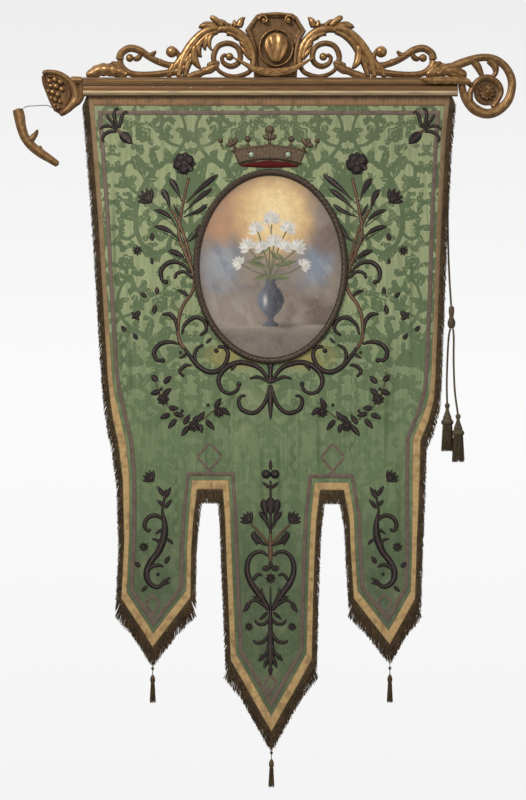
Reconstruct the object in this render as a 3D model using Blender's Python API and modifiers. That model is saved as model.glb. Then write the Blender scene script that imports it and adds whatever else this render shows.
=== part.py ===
"""Church banner on a carved crossbar: a green silk cloth with three pointed tails, edged with galloon,
braid and fringe, hung from a gilt moulded bar with a carved cresting and one loose corded tie.

Metres, +Z up. The origin is at the bar's middle, on its flat back face; the banner's front looks along -Y.
Tables are in millimetres in that same frame, read across (x) and up (z).
"""

import math

import bmesh
import bpy
from mathutils import Matrix, Vector
from mathutils.geometry import delaunay_2d_cdt

MM = 0.001
GAP = 0.3                    # clearance between two pieces that touch

# Crossbar, a picture frame moulding with a rebate for the cloth's top edge
BAR_LENGTH = 1197
BAR_HALF_HEIGHT = 30
LIP_BACK = -44
REBATE_TOP = -10
BAR_SECTION = (              # y, z
    (0, REBATE_TOP), (0, 30), (-55, 30), (-58, 27), (-58, 19), (-51, 15), (-47, 10), (-50, 4),
    (-52, 1), (-52, -11), (-57, -12.5), (-60.5, -17), (-57, -21.5), (-51, -23), (-50, -30),
    (LIP_BACK, -30), (LIP_BACK, REBATE_TOP),
)

# Cloth and what is sewn on it, as depths from the cloth's middle
CLOTH_Y = -36
CLOTH_THICK = 2.0
TRIM_THICK = 1.6
EDGE_STEP = 84               # longest stretch of a border between two points
SITE_STEP_X = 42
SITE_STEP_Z = 88
SITE_TOP = -60
SITE_ROWS = 24
SITE_COLUMNS = 14
SITE_MARGIN = 15
EDGE_CURL = 13               # how far the side edges turn back above the shoulders
CURL_WIDTH = 40
CURL_TOP, CURL_TOP_FADE = -30, 120
CURL_FOOT, CURL_FOOT_FADE = -1110, 160

# Edge of the cloth, anticlockwise from the top left as the front is seen.
# Columns: x, z, width of the galloon, near and far side of the narrow braid from the edge.
LEFT_SIDE = (
    (-585, -16, 17, 27, 41), (-573, -170, 17, 27, 41), (-553, -425, 17, 26, 40), (-538, -680, 16, 24, 38),
    (-522, -935, 16, 24, 38), (-515, -1000, 18, 30, 44), (-505, -1065, 24, 34, 48),
    (-490, -1130, 28, 37, 51), (-474, -1255, 24, 33, 47), (-469, -1450, 17, 25, 39), (-478, -1637, 17, 25, 39),
)
LEFT_HEM = (
    (-478, -1637, 27, 38, 52), (-437, -1700, 27, 38, 52), (-377, -1793, 27, 38, 52), (-305, -1699, 27, 38, 52),
    (-255, -1634, 27, 38, 52),
)
LEFT_SLOT_OUTER = (
    (-255, -1634, 15, 24, 38), (-253, -1480, 15, 24, 38), (-246, -1384, 17, 26, 39), (-234, -1288, 22, 30, 42),
)
LEFT_SLOT_HEAD = ((-234, -1288, 32, 45, 58), (-154, -1288, 32, 45, 58))
LEFT_SLOT_INNER = (
    (-154, -1288, 24, 33, 45), (-146, -1384, 19, 28, 41), (-143, -1480, 19, 28, 41), (-137, -1624, 19, 28, 41),
    (-128, -1835, 19, 28, 41),
)
MIDDLE_HEM = (
    (-128, -1835, 27, 38, 52), (-69, -1938, 27, 38, 52), (3, -2065, 27, 38, 52), (75, -1936, 27, 38, 52),
    (133, -1832, 27, 38, 52),
)
RIGHT_SLOT_INNER = (
    (133, -1832, 19, 28, 41), (138, -1624, 19, 28, 41), (143, -1480, 19, 28, 41), (148, -1384, 19, 28, 41),
    (160, -1290, 24, 33, 45),
)
RIGHT_SLOT_HEAD = ((160, -1290, 26, 40, 53), (234, -1290, 26, 40, 53))
RIGHT_SLOT_OUTER = (
    (234, -1290, 22, 30, 42), (252, -1384, 17, 26, 39), (256, -1480, 15, 24, 38), (266, -1637, 15, 24, 38),
)
RIGHT_HEM = (
    (266, -1637, 27, 38, 52), (312, -1696, 27, 38, 52), (382, -1786, 27, 38, 52), (431, -1697, 27, 38, 52),
    (464, -1637, 27, 38, 52),
)
RIGHT_SIDE = (
    (464, -1637, 17, 25, 39), (470, -1450, 17, 25, 39), (477, -1288, 24, 33, 47), (482, -1130, 28, 37, 51),
    (508, -1065, 24, 34, 48), (525, -1000, 18, 30, 44), (530, -935, 16, 24, 38), (540, -680, 16, 24, 38),
    (550, -425, 17, 26, 40), (563, -170, 17, 27, 41), (576, -16, 17, 27, 41),
)
TOP = ((576, -16, 43, 58, 72), (-585, -16, 43, 58, 72))
EDGE = (
    LEFT_SIDE, LEFT_HEM, LEFT_SLOT_OUTER, LEFT_SLOT_HEAD, LEFT_SLOT_INNER, MIDDLE_HEM,
    RIGHT_SLOT_INNER, RIGHT_SLOT_HEAD, RIGHT_SLOT_OUTER, RIGHT_HEM, RIGHT_SIDE, TOP,
)
HEMS = (LEFT_HEM, MIDDLE_HEM, RIGHT_HEM)      # their own rows are close enough
GALLOON, BRAID_NEAR, BRAID_FAR = 2, 3, 4

FOLD_RISE, FOLD_FALL = 0.3, 0.25     # shares of its length in which a fold comes up and dies out
# Soft folds. Columns: x and z at the top, x and z at the foot, half width, height (forward is
# positive), and whether the fold runs out through the hem.
FOLDS = (
    (-470, -150, -455, -1050, 62, -5, False),
    (-415, -330, -400, -1250, 50, 4, False),
    (430, -200, 420, -1150, 60, -5, False),
    (375, -650, 365, -1320, 46, 6, False),
    (268, -760, 262, -1330, 44, -6, False),
    (149, -900, 150, -1300, 38, 6, False),
    (86, -960, 84, -1500, 36, -6, False),
    (15, -1000, 20, -1440, 42, 4, False),
    (-123, -940, -128, -1330, 44, -7, False),
    (-205, -980, -200, -1300, 40, 5, False),
    (-330, -960, -322, -1420, 44, -5, False),
    (-410, -1120, -412, -1900, 44, -6, True),
    (-372, -1290, -372, -1960, 34, 6, True),
    (-312, -1330, -322, -1900, 40, -6, True),
    (-95, -1350, -90, -2150, 44, -7, True),
    (-40, -1400, -36, -2200, 38, 6, True),
    (36, -1380, 30, -2200, 42, -5, True),
    (92, -1330, 88, -2100, 40, 7, True),
    (310, -1330, 330, -1950, 40, 6, True),
    (370, -1300, 384, -1950, 38, -6, True),
    (425, -1150, 430, -1900, 44, 5, True),
)

# Oval picture with its padded border, and the flat zone of cloth that backs it
OVAL_X, OVAL_Z = 0, -573
OVAL_HALF_WIDTH, OVAL_HALF_HEIGHT = 240, 304
RIM_WIDTH = 17
RIM_DEPTH = 10
CANVAS_THICK = 1.6
OVAL_SIDES = 30
FLAT_ZONE = 1.06             # the cloth lies flat to this many times the oval's radius
FLAT_FADE = 0.35

# Applied crown: a band and its balls and fleurons. Columns: x, z, radius.
CROWN_THICK = 7
CROWN_BALL_THICK = 9
CROWN_BALL_SIDES = 7
CROWN_BAND = (
    (-101, -246), (-123, -199), (-73, -186), (-40, -184), (-3, -178), (34, -184), (66, -186), (114, -201),
    (94, -247), (60, -237), (-3, -231), (-62, -236),
)
CROWN_BALLS = (
    (-119, -183, 19), (-143, -175, 12), (-160, -170, 9), (-73, -165, 10), (-3, -163, 20), (-27, -167, 16),
    (21, -167, 16), (-3, -136, 17), (66, -165, 10), (112, -184, 19), (135, -176, 12), (150, -171, 9),
)
CROWN_STALKS = ((-73, -178, 7), (-3, -180, 9), (66, -178, 7))      # x, z, half width
STALK_THICK, STALK_ABOVE, STALK_BELOW = 6, 8, 12
VELVET_THICK = 3
VELVET = ((-99, -248), (-60, -239), (-3, -233), (58, -239), (92, -249), (86, -255), (-3, -258), (-92, -254))

# Fringe: a narrow strip along the edge with tapering locks
STRIP_WIDTH = 3
FRINGE_THICK = 4.4
SHARP_TURN = 0.6             # radians
CORNER_CLEAR = 3.4           # bare strip beside a sharp corner
LOCK_CLEAR = 0.5             # least gap between two locks at the root
LOCK_SHARE = 0.9             # of the pitch, the widest that a lock's root may be
RUN_END = 4.5                # the strip stops this far from each corner
LOCK_UNEVEN = (0.0, -0.05, 0.04, -0.02, 0.06, -0.07, 0.03)     # of the locks' length, in turn
# Columns: name, pieces of edge, pitch, lock width, lock length, spread, bare stretch at each end
FRINGES = (
    ("fringe_left", LEFT_SIDE[1:], 33, 7.0, 56, 0.34, 4),
    ("fringe_left_hem", LEFT_HEM, 14.5, 7.0, 56, 0.06, 7),
    ("fringe_left_slot_outer", LEFT_SLOT_OUTER, 32, 6.4, 48, 0.36, 6),
    ("fringe_left_slot_head", LEFT_SLOT_HEAD, 11.5, 6.4, 46, 0.0, 24),
    ("fringe_left_slot_inner", LEFT_SLOT_INNER, 32, 6.4, 48, 0.36, 6),
    ("fringe_middle_hem", MIDDLE_HEM, 15.5, 7.0, 54, 0.06, 7),
    ("fringe_right_slot_inner", RIGHT_SLOT_INNER, 32, 6.4, 48, 0.36, 6),
    ("fringe_right_slot_head", RIGHT_SLOT_HEAD, 11.5, 6.4, 46, 0.0, 22),
    ("fringe_right_slot_outer", RIGHT_SLOT_OUTER, 32, 6.4, 48, 0.36, 6),
    ("fringe_right_hem", RIGHT_HEM, 14.5, 7.0, 56, 0.06, 7),
    ("fringe_right", RIGHT_SIDE[:-1], 33, 7.0, 56, 0.34, 4),
)

# Carved cresting. Each stroke is a row of stations: x, z, half width.
CREST_Y = -38
CREST_HALF_DEPTH = 14
CARVING_SWELL = 1.2          # how soon a thick stroke reaches that depth
BOSS_FRONT, BOSS_BACK = -51, -29
BACKING_FRONT, BACKING_BACK = -33, -26
CREST_MIDDLE = 19
SEAT = BAR_HALF_HEIGHT + GAP
PLINTH_TOP = 37
PLINTH_HALF_LENGTH = 590
PLINTH_FRONT, PLINTH_BACK = -52, -24
BAR_SPACE = (-120, 60, -160)      # front, back and foot of the space kept for the bar and cloth
CREST_STROKES = {
    "ring scroll": (
        (-56, 66, 6), (-75, 45, 6), (-120, 34, 6), (-165, 53, 5), (-182, 94, 5), (-168, 130, 5),
        (-136, 141, 5), (-106, 128, 5), (-96, 98, 5), (-104, 77, 5), (-126, 67, 5), (-149, 77, 4),
        (-155, 96, 4), (-140, 106, 4),
    ),
    "long leaf": (
        (-299, 24, 13), (-299, 66, 22), (-280, 107, 26), (-254, 141, 22), (-216, 173, 14), (-178, 186, 10),
        (-146, 184, 8),
    ),
    "long leaf low tip": ((-226, 162, 11), (-232, 178, 6), (-234, 192, 2.6)),
    "long leaf middle tip": ((-203, 176, 10), (-213, 194, 6), (-218, 208, 2.6)),
    "long leaf top tip": ((-178, 186, 8), (-184, 210, 6), (-190, 227, 2.6)),
    "inner lobe": ((-216, 165, 10), (-198, 142, 8), (-190, 117, 3.2)),
    "middle lobe": ((-254, 130, 13), (-229, 123, 10), (-210, 114, 3.2)),
    "low lobe": ((-270, 88, 13), (-248, 78, 11), (-226, 59, 4)),
    "foot lobe": ((-290, 62, 13), (-277, 43, 10), (-266, 26, 6)),
    "short leaf": (
        (-158, 186, 8), (-117, 182, 10), (-83, 158, 13), (-62, 125, 13), (-54, 94, 11), (-56, 66, 10),
    ),
    "short leaf low tip": ((-126, 184, 9), (-117, 200, 6), (-110, 213, 2.6)),
    "short leaf top tip": ((-104, 178, 9), (-91, 200, 7), (-80, 222, 2.6)),
    "running scroll": (
        (-258, 101, 13), (-277, 78, 10), (-315, 70, 8), (-354, 80, 8), (-386, 96, 8), (-416, 117, 9),
        (-450, 125, 9), (-477, 109, 9), (-483, 85, 10),
    ),
    "ball stem": ((-290, 75, 8), (-294, 104, 6), (-309, 125, 5)),
    "fish tail": ((-405, 107, 8), (-384, 101, 8), (-365, 117, 2.6)),
    "hook end": ((-414, 107, 6), (-424, 93, 7), (-440, 90, 5)),
    "lower stem": (
        (-270, 66, 13), (-302, 51, 10), (-357, 43, 8), (-413, 40, 8), (-451, 46, 8), (-477, 66, 9),
        (-485, 88, 10),
    ),
    "cuff stem": ((-165, 72, 6), (-194, 58, 11), (-213, 50, 8), (-238, 40, 10), (-270, 26, 8)),
    "outer leaf": ((-456, 40, 11), (-498, 54, 15), (-542, 56, 15), (-571, 42, 12), (-590, 30, 8)),
    "outer leaf tip": ((-526, 61, 10), (-539, 74, 3.2)),
}
CREST_BALLS = ((-131, 98, 13), (-316, 114, 19), (-450, 94, 13))      # x, z, radius
RIGHT_END_STROKES = {
    "hook": (
        (542, 50, 10), (568, 61, 10), (613, 78, 12), (670, 95, 10), (715, 91, 10), (750, 67, 10), (770, 30, 11),
        (771, -8, 11), (757, -46, 12), (725, -75, 13), (690, -84, 13), (654, -70, 14), (630, -43, 13),
        (616, -16, 11),
    ),
    "spiral": (
        (637, -53, 10), (640, -14, 8), (661, 19, 8), (694, 32, 8), (726, 14, 8), (738, -14, 7), (726, -43, 7),
        (708, -66, 10),
    ),
    "first drop": ((642, 88, 8), (661, 69, 10), (674, 43, 7), (680, 30, 6)),
    "second drop": ((696, 90, 10), (717, 69, 10), (720, 46, 7), (706, 30, 6)),
    "stem": ((570, 44, 9), (610, 30, 9), (638, 10, 7), (648, -2, 5)),
    "corner": ((612, 24, 9), (613, 0, 10), (618, -24, 10)),
}
RIGHT_ROSETTE = (692, -16, 28)
RIGHT_BACKING = (689, -14, 45)
LEFT_END_STROKES = {
    "stub": ((-606, 12, 12), (-622, 16, 13), (-640, 12, 13)),
    "hook": ((-637, 12, 11), (-661, 27, 12), (-693, 37, 11), (-720, 43, 8)),
    "back": ((-628, 8, 12), (-643, -2, 14), (-651, -27, 14), (-659, -56, 13), (-674, -80, 10)),
    "front": ((-720, 43, 8), (-714, 18, 10), (-704, -14, 10), (-693, -50, 10), (-674, -83, 8)),
}
LEFT_BEADS = (               # x, z, radius
    (-693, 12, 14), (-675, 2, 15), (-699, -8, 14), (-681, -22, 14), (-690, -40, 12.6), (-672, -48, 11.5),
)
BEAD_Y = -42
FRAGMENT_STROKES = {
    "arc": (
        (-809, -67, 17), (-803, -94, 18), (-797, -126, 16), (-786, -158, 15), (-765, -186, 15),
        (-738, -208, 15), (-709, -227, 13), (-678, -248, 10),
    ),
    "tip": ((-770, -172, 13), (-752, -150, 8), (-744, -134, 3)),
    "second tip": ((-738, -206, 11), (-734, -197, 6), (-738, -185, 3)),
}
CARTOUCHE = (                # x, z
    (-53, SEAT), (-56, 75), (-59, 120), (-69, 158), (-82, 186), (-62, 214), (-46, 235), (-29, 242), (21, 238),
    (68, 241), (87, 229), (101, 205), (115, 184), (101, 158), (91, 120), (88, 75), (85, SEAT),
)
CARTOUCHE_FRONT, CARTOUCHE_BACK = -51, -29
GARLAND = (                  # x, z, half width
    (-120, 93, 4), (-104, 85, 5), (-78, 70, 8), (-53, 56, 11), (-21, 48, 14), (10, 45, 15), (40, 48, 14),
    (72, 56, 11), (98, 70, 8), (123, 85, 5), (141, 93, 4),
)
GARLAND_HALF_DEPTH = 8
WIRE_RADIUS = 1.2
WIRE_STEP = 14
WIRE = (                     # x, y, z
    (-790, -38, -66), (-776, -44, -61), (-750, -46, -60), (-722, -46, -58), (-708, -45, -60), (-698, -44, -66),
)

# Corded tie on the right: a cord from the rebate, a knot and two strands with tassels
CORD_Y = -14
CORD_RADIUS = 3.5
CORD_STEP = 20
CURVE_SAMPLES = 24           # between two points of a route
MAIN_CORD = (                # x, y, z
    (567, CORD_Y, -10.4), (567, CORD_Y, -60), (568, CORD_Y, -260), (570, CORD_Y, -480), (574, CORD_Y, -600),
    (580, CORD_Y, -697),
)
KNOT_X = 581
KNOT_SIDES = 10
KNOT_PROFILE = ((4, -697.6), (8, -702), (9, -716), (6.5, -734), (12, -748), (12, -760), (8, -768), (5, -771))
STRANDS = (                  # name, then x, y, z of each point
    ("tie_strand_left", (
        (577, CORD_Y, -771.6), (572, CORD_Y, -800), (568, CORD_Y, -870), (566, CORD_Y, -950), (567, CORD_Y, -1009.6),
    )),
    ("tie_strand_right", (
        (586, CORD_Y - 1, -771.6), (588, -18, -800), (587, -26, -880), (590, -34, -970), (599, -40, -1043.6),
    )),
)
# Tie tassels. Columns: name, x, y, z of the top.
TIE_TASSELS = (("tie_tassel_left", 567, CORD_Y - 7, -1010), ("tie_tassel_right", 600, -40, -1044))
TIE_TASSEL_SIDES = 10
TIE_TASSEL_PROFILE = (       # radius, drop
    (3.5, 0), (7, -4), (7, -12), (5, -18), (6, -26), (14, -48), (13, -51), (19, -54), (19, -66), (16, -70),
    (11, -73), (11, -132),
)
TIE_TASSEL_LOCKS = dict(count=12, ring=15.6, radius=3.0, top=-66, foot=-150)
# Hem tassels. Columns: name, x, z of the thread's top, length of the thread down to the bead.
HEM_TASSELS = (
    ("tassel_left", -377, -1802, 52), ("tassel_middle", 3, -2074, 50), ("tassel_right", 382, -1795, 58),
)
HEM_THREAD_RADIUS = 1.2
HEM_TASSEL_SIDES = 6
HEM_TASSEL_PROFILE = (       # radius, drop below the bead's top
    (1.2, 0), (4.2, -3), (4.2, -7), (1.4, -11), (1.4, -24), (5, -28), (8, -36), (8, -48), (5.5, -53), (6.5, -57),
    (4, -60), (4, -100),
)
HEM_TASSEL_LOCKS = dict(count=8, ring=6.6, radius=1.7, top=-53, foot=-112)
LOCK_TAPER = 0.8

NEARLY_STRAIGHT = 0.05       # sine of the turn below which a corner isn't mitred
UNIONS = []                  # piece, its tools, its cutter


def finish(name, colour, roughness, metallic=0.0):
    """A Principled material of one colour."""
    material = bpy.data.materials.new(name)
    material.use_nodes = True
    shader = material.node_tree.nodes["Principled BSDF"]
    shader.inputs["Base Color"].default_value = (*colour, 1)
    shader.inputs["Roughness"].default_value = roughness
    shader.inputs["Metallic"].default_value = metallic
    return material


def add(name, mesh, material, group):
    """Link a mesh as a named object with its material."""
    mesh.materials.clear()
    mesh.materials.append(material)
    piece = bpy.data.objects.new(name, mesh)
    group.objects.link(piece)
    return piece


def mesh_from(bm, name):
    """Turn a finished bmesh into a mesh whose faces look outwards."""
    bmesh.ops.recalc_face_normals(bm, faces=bm.faces)
    mesh = bpy.data.meshes.new(name)
    bm.to_mesh(mesh)
    bm.free()
    return mesh


def smooth(t):
    t = min(max(t, 0.0), 1.0)
    return t * t * (3 - 2 * t)


def between(rows, z):
    """x of a side edge at a height, from its table."""
    rows = sorted(rows, key=lambda row: -row[1])
    if z >= rows[0][1]:
        return rows[0][0]
    for upper, lower in zip(rows, rows[1:]):
        if z >= lower[1]:
            share = (upper[1] - z) / (upper[1] - lower[1])
            return upper[0] + (lower[0] - upper[0]) * share
    return rows[-1][0]


def oval_reach(x, z):
    """Distance from the oval's middle in oval radii."""
    return math.hypot((x - OVAL_X) / OVAL_HALF_WIDTH, (z - OVAL_Z) / OVAL_HALF_HEIGHT)


def cloth_depth(x, z):
    """y of the cloth's middle: flat behind the oval, soft folds elsewhere, side edges turned back."""
    rise = 0.0
    for x_top, z_top, x_foot, z_foot, half_width, height, through_hem in FOLDS:
        along = (z_top - z) / (z_top - z_foot)
        across = abs(x - x_top - (x_foot - x_top) * along) / half_width
        if 0 < along < 1 and across < 1:
            fade = smooth(along / FOLD_RISE) * (1 if through_hem else smooth((1 - along) / FOLD_FALL))
            rise += height * fade * math.cos(across * math.pi / 2) ** 2
    rise *= smooth((oval_reach(x, z) - FLAT_ZONE) / FLAT_FADE)
    inset = max(min(x - between(LEFT_SIDE, z), between(RIGHT_SIDE, z) - x), 0)
    curl = EDGE_CURL * smooth((CURL_TOP - z) / CURL_TOP_FADE) * smooth((z - CURL_FOOT) / CURL_FOOT_FADE)
    return CLOTH_Y - rise + curl * max(1 - inset / CURL_WIDTH, 0) ** 2


def stepped(rows, step):
    """Rows with more between them, so that no stretch is longer than the step."""
    out = []
    for a, b in zip(rows, rows[1:]):
        count = max(1, math.ceil(math.hypot(b[0] - a[0], b[1] - a[1]) / step))
        out += [tuple(p + (q - p) * i / count for p, q in zip(a, b)) for i in range(count)]
    return out + [tuple(rows[-1])]


def offset(points, shifts, closed):
    """Points moved to the left of their way by a shift for each stretch, with mitred corners."""
    count = len(points)
    stretches = count if closed else count - 1
    normals = []
    for i in range(stretches):
        way = Vector(points[(i + 1) % count]) - Vector(points[i])
        normals.append(Vector((-way.y, way.x)).normalized())
    moved = []
    for i, point in enumerate(points):
        before = (i - 1) % stretches if closed or i > 0 else 0
        after = i if i < stretches else stretches - 1
        n1, n2 = normals[before], normals[after]
        d1, d2 = shifts[before], shifts[after]
        turn = n1.x * n2.y - n1.y * n2.x
        if abs(turn) < NEARLY_STRAIGHT:
            shift = (n1 + n2).normalized() * (d1 + d2) / 2
        else:
            shift = Vector((d1 * n2.y - d2 * n1.y, d2 * n1.x - d1 * n2.x)) / turn
        moved.append((point[0] + shift.x, point[1] + shift.y))
    return moved


def inside(loop, x, z):
    """Whether a place lies in a closed loop of points."""
    hit = False
    for (x1, z1), (x2, z2) in zip(loop, loop[1:] + loop[:1]):
        if (z1 > z) != (z2 > z) and x < x1 + (x2 - x1) * (z - z1) / (z2 - z1):
            hit = not hit
    return hit


def triangulate(loops, sites=(), links=()):
    """Triangles over loops of points, whose sides are kept, loose sites, and links between points."""
    points, sides = [], list(links)
    for loop in loops:
        first = len(points)
        points += [Vector(point) for point in loop]
        sides += [(first + i, first + (i + 1) % len(loop)) for i in range(len(loop))]
    points += [Vector(site) for site in sites]
    result = delaunay_2d_cdt(points, sides, [], 0, 1e-5)
    return [tuple(point) for point in result[0]], result[2]


def slab(name, points, triangles, depth, front, back, material, group):
    """A sheet of triangles given a thickness along Y, from front to back of a depth function."""
    bm = bmesh.new()
    corners = {}
    for index in sorted({i for triangle in triangles for i in triangle}):
        x, z = points[index]
        corners[index] = bm.verts.new((x * MM, (depth(x, z) + front) * MM, z * MM))
    faces = [bm.faces.new([corners[i] for i in triangle]) for triangle in triangles]
    grown = bmesh.ops.extrude_face_region(bm, geom=faces)
    moved = [item for item in grown["geom"] if isinstance(item, bmesh.types.BMVert)]
    bmesh.ops.translate(bm, vec=(0, (back - front) * MM, 0), verts=moved)
    return add(name, mesh_from(bm, name), material, group)


def centre(points, triangle):
    return tuple(sum(points[i][axis] for i in triangle) / 3 for axis in (0, 1))


def flat_piece(name, outline, front, back, material, group):
    """A flat outline in the plane of the front, from one depth to another."""
    points, triangles = triangulate([outline])
    kept = [triangle for triangle in triangles if inside(outline, *centre(points, triangle))]
    return slab(name, points, kept, lambda x, z: 0, front, back, material, group)


def oval_ring(scale):
    turns = [2 * math.pi * step / OVAL_SIDES for step in range(OVAL_SIDES)]
    return [
        (OVAL_X + OVAL_HALF_WIDTH * scale * math.sin(turn), OVAL_Z + OVAL_HALF_HEIGHT * scale * math.cos(turn))
        for turn in turns
    ]


def cloth_sites(clear):
    """Loose points of the cloth in offset rows: inside a loop, off the oval's ring, sparse behind it."""
    sites = []
    for row in range(SITE_ROWS):
        for column in range(-SITE_COLUMNS, SITE_COLUMNS + 1):
            x = (column + 0.5 * (row % 2)) * SITE_STEP_X
            z = SITE_TOP - row * SITE_STEP_Z
            reach = oval_reach(x, z)
            on_ring = abs(reach - FLAT_ZONE) * OVAL_HALF_WIDTH < SITE_MARGIN
            thinned = reach < FLAT_ZONE and column % 3
            if inside(clear, x, z) and not on_ring and not thinned:
                sites.append((x, z))
    return sites


def cloth_pieces(cloth, galloon, heading, braid, group):
    """Panel, galloon, heading band and narrow braid, all cut from one folded surface."""
    edge, widths = [], {GALLOON: [], BRAID_NEAR: [], BRAID_FAR: []}
    for run in EDGE:
        corner = len(edge)
        rows = run if run in HEMS else stepped(run, EDGE_STEP)
        for a, b in zip(rows, rows[1:]):
            edge.append((a[0], a[1]))
            for column, values in widths.items():
                values.append((a[column] + b[column]) / 2)
    loops = {column: offset(edge, values, True) for column, values in widths.items()}
    clear = offset(edge, [value + SITE_MARGIN for value in widths[BRAID_FAR]], True)
    inner = loops[GALLOON]
    mitres = [(0, len(edge)), (corner, len(edge) + corner)]
    top_band = [edge[0], inner[0], inner[corner], edge[corner]]
    points, triangles = triangulate([edge, *loops.values(), oval_ring(FLAT_ZONE)], cloth_sites(clear), mitres)
    whole, sides, top, narrow = [], [], [], []
    for triangle in triangles:
        x, z = centre(points, triangle)
        if not inside(edge, x, z):
            continue
        whole.append(triangle)
        if not inside(inner, x, z):
            (top if inside(top_band, x, z) else sides).append(triangle)
        elif inside(loops[BRAID_NEAR], x, z) and not inside(loops[BRAID_FAR], x, z):
            narrow.append(triangle)
    half = CLOTH_THICK / 2
    slab("cloth_panel", points, whole, cloth_depth, -half, half, cloth, group)
    back = -half - GAP
    for name, kept, material in (
        ("galloon", sides, galloon), ("heading_band", top, heading), ("narrow_braid", narrow, braid),
    ):
        slab(name, points, kept, cloth_depth, back - TRIM_THICK, back, material, group)


def fringe(name, run, pitch, width, length, spread, bare, material, group):
    """A strip along a run of the cloth's edge, with tapering locks that hang from it."""
    line = trimmed([row[:2] for row in run], RUN_END)
    stretches = len(line) - 1
    inner = offset(line, [-GAP] * stretches, False)
    outer = offset(line, [-GAP - STRIP_WIDTH] * stretches, False)
    ways = [(Vector(b) - Vector(a)).normalized() for a, b in zip(outer, outer[1:])]
    spans = [math.dist(a, b) for a, b in zip(outer, outer[1:])]
    sharp = [False] + [a.angle(b) > SHARP_TURN for a, b in zip(ways, ways[1:])] + [False]
    count = int((sum(spans) - 2 * bare) / pitch)
    first = (sum(spans) - (count - 1) * pitch) / 2
    chain, walked, taken, index = [outer[0]], 0.0, 0.0, 0
    for stretch, (way, span) in enumerate(zip(ways, spans)):
        hang = (Vector((way.y, -way.x)) * spread + Vector((0, -1))).normalized()
        half = min(width / abs(hang.x * way.y - hang.y * way.x), LOCK_SHARE * pitch) / 2
        highest = walked + span - half - (CORNER_CLEAR if sharp[stretch + 1] else LOCK_CLEAR)
        while index < count and first + index * pitch < walked + span:
            lowest = max(walked + (CORNER_CLEAR if sharp[stretch] else LOCK_CLEAR), taken + LOCK_CLEAR) + half
            place = min(max(first + index * pitch, lowest), highest)
            if place >= lowest:
                root = Vector(outer[stretch]) + way * (place - walked)
                tip = root + hang * length * (1 + LOCK_UNEVEN[index % len(LOCK_UNEVEN)])
                chain += [tuple(root - way * half), tuple(tip), tuple(root + way * half)]
                taken = place + half
            index += 1
        walked += span
        chain.append(outer[stretch + 1])
    outline = chain + inner[::-1]
    points, triangles = triangulate([outline])
    kept = [triangle for triangle in triangles if inside(outline, *centre(points, triangle))]
    thick = FRINGE_THICK / 2
    return slab(name, points, kept, cloth_depth, -thick, thick, material, group)


def trimmed(line, cut):
    """A line of points shortened by a cut at both ends."""
    for end, beside in ((0, 1), (-1, -2)):
        way = (Vector(line[beside]) - Vector(line[end])).normalized()
        line[end] = tuple(Vector(line[end]) + way * cut)
    return line


def merged_mesh(curve_object):
    """The closed mesh of a curve with its caps welded; the curve is removed."""
    graph = bpy.context.evaluated_depsgraph_get()
    mesh = bpy.data.meshes.new_from_object(curve_object.evaluated_get(graph))
    mesh.transform(curve_object.matrix_world)
    curve = curve_object.data
    bpy.data.objects.remove(curve_object)
    bpy.data.curves.remove(curve)
    return welded(mesh)


def welded(mesh):
    """A mesh with its loose seams closed and its faces looking outwards."""
    bm = bmesh.new()
    bm.from_mesh(mesh)
    bmesh.ops.remove_doubles(bm, verts=bm.verts, dist=1e-5)
    bmesh.ops.recalc_face_normals(bm, faces=bm.faces)
    bm.to_mesh(mesh)
    bm.free()
    return mesh


def tube(stations, resolution, closed=False):
    """A curve through stations of x, y, z and radius in millimetres, as a welded mesh."""
    curve = bpy.data.curves.new("tube", "CURVE")
    curve.dimensions = "3D"
    curve.bevel_depth = MM
    curve.bevel_resolution = resolution
    curve.use_fill_caps = not closed
    spline = curve.splines.new("POLY")
    spline.use_cyclic_u = closed
    spline.points.add(len(stations) - 1)
    for point, (x, y, z, radius) in zip(spline.points, stations):
        point.co = (x * MM, y * MM, z * MM, 1)
        point.radius = radius
    path = bpy.data.objects.new("tube", curve)
    bpy.context.scene.collection.objects.link(path)
    bpy.context.view_layer.update()
    return merged_mesh(path)


def carved(rows, resolution=0):
    """A carved stroke in the plane of the front: its depth swells less than its width."""
    mesh = tube([(x, 0, z, half) for x, z, half in rows], resolution)
    for vertex in mesh.vertices:
        depth = vertex.co.y / MM
        swell = math.tanh(depth / CREST_HALF_DEPTH * CARVING_SWELL)
        vertex.co.y = (CREST_Y + CREST_HALF_DEPTH * swell) * MM
    return mesh


def disc(x, z, radius, front, back, sides=10):
    """A round boss with its axis along Y."""
    bpy.ops.mesh.primitive_cylinder_add(vertices=sides, radius=radius * MM, depth=(back - front) * MM)
    boss = bpy.context.object
    mesh = boss.data
    place = Matrix.Translation((x * MM, (front + back) / 2 * MM, z * MM))
    mesh.transform(place @ Matrix.Rotation(math.pi / 2, 4, "X"))
    bpy.data.objects.remove(boss)
    return mesh


def dome(x, y, z, radius):
    """A carved ball, a little flattened in depth."""
    bpy.ops.mesh.primitive_ico_sphere_add(subdivisions=1, radius=radius * MM)
    ball = bpy.context.object
    mesh = ball.data
    mesh.transform(Matrix.Translation((x * MM, y * MM, z * MM)) @ Matrix.Diagonal((1, 0.9, 1, 1)))
    bpy.data.objects.remove(ball)
    return mesh


def block(low, high):
    """A box between two corners in millimetres."""
    bpy.ops.mesh.primitive_cube_add(size=1)
    cube = bpy.context.object
    mesh = cube.data
    size = [(b - a) * MM for a, b in zip(low, high)]
    middle = [(a + b) / 2 * MM for a, b in zip(low, high)]
    mesh.transform(Matrix.Translation(middle) @ Matrix.Diagonal((*size, 1)))
    bpy.data.objects.remove(cube)
    return mesh


def flipped(rows, middle):
    """Stations mirrored across an upright line."""
    return tuple((2 * middle - row[0], *row[1:]) for row in rows)


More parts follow.
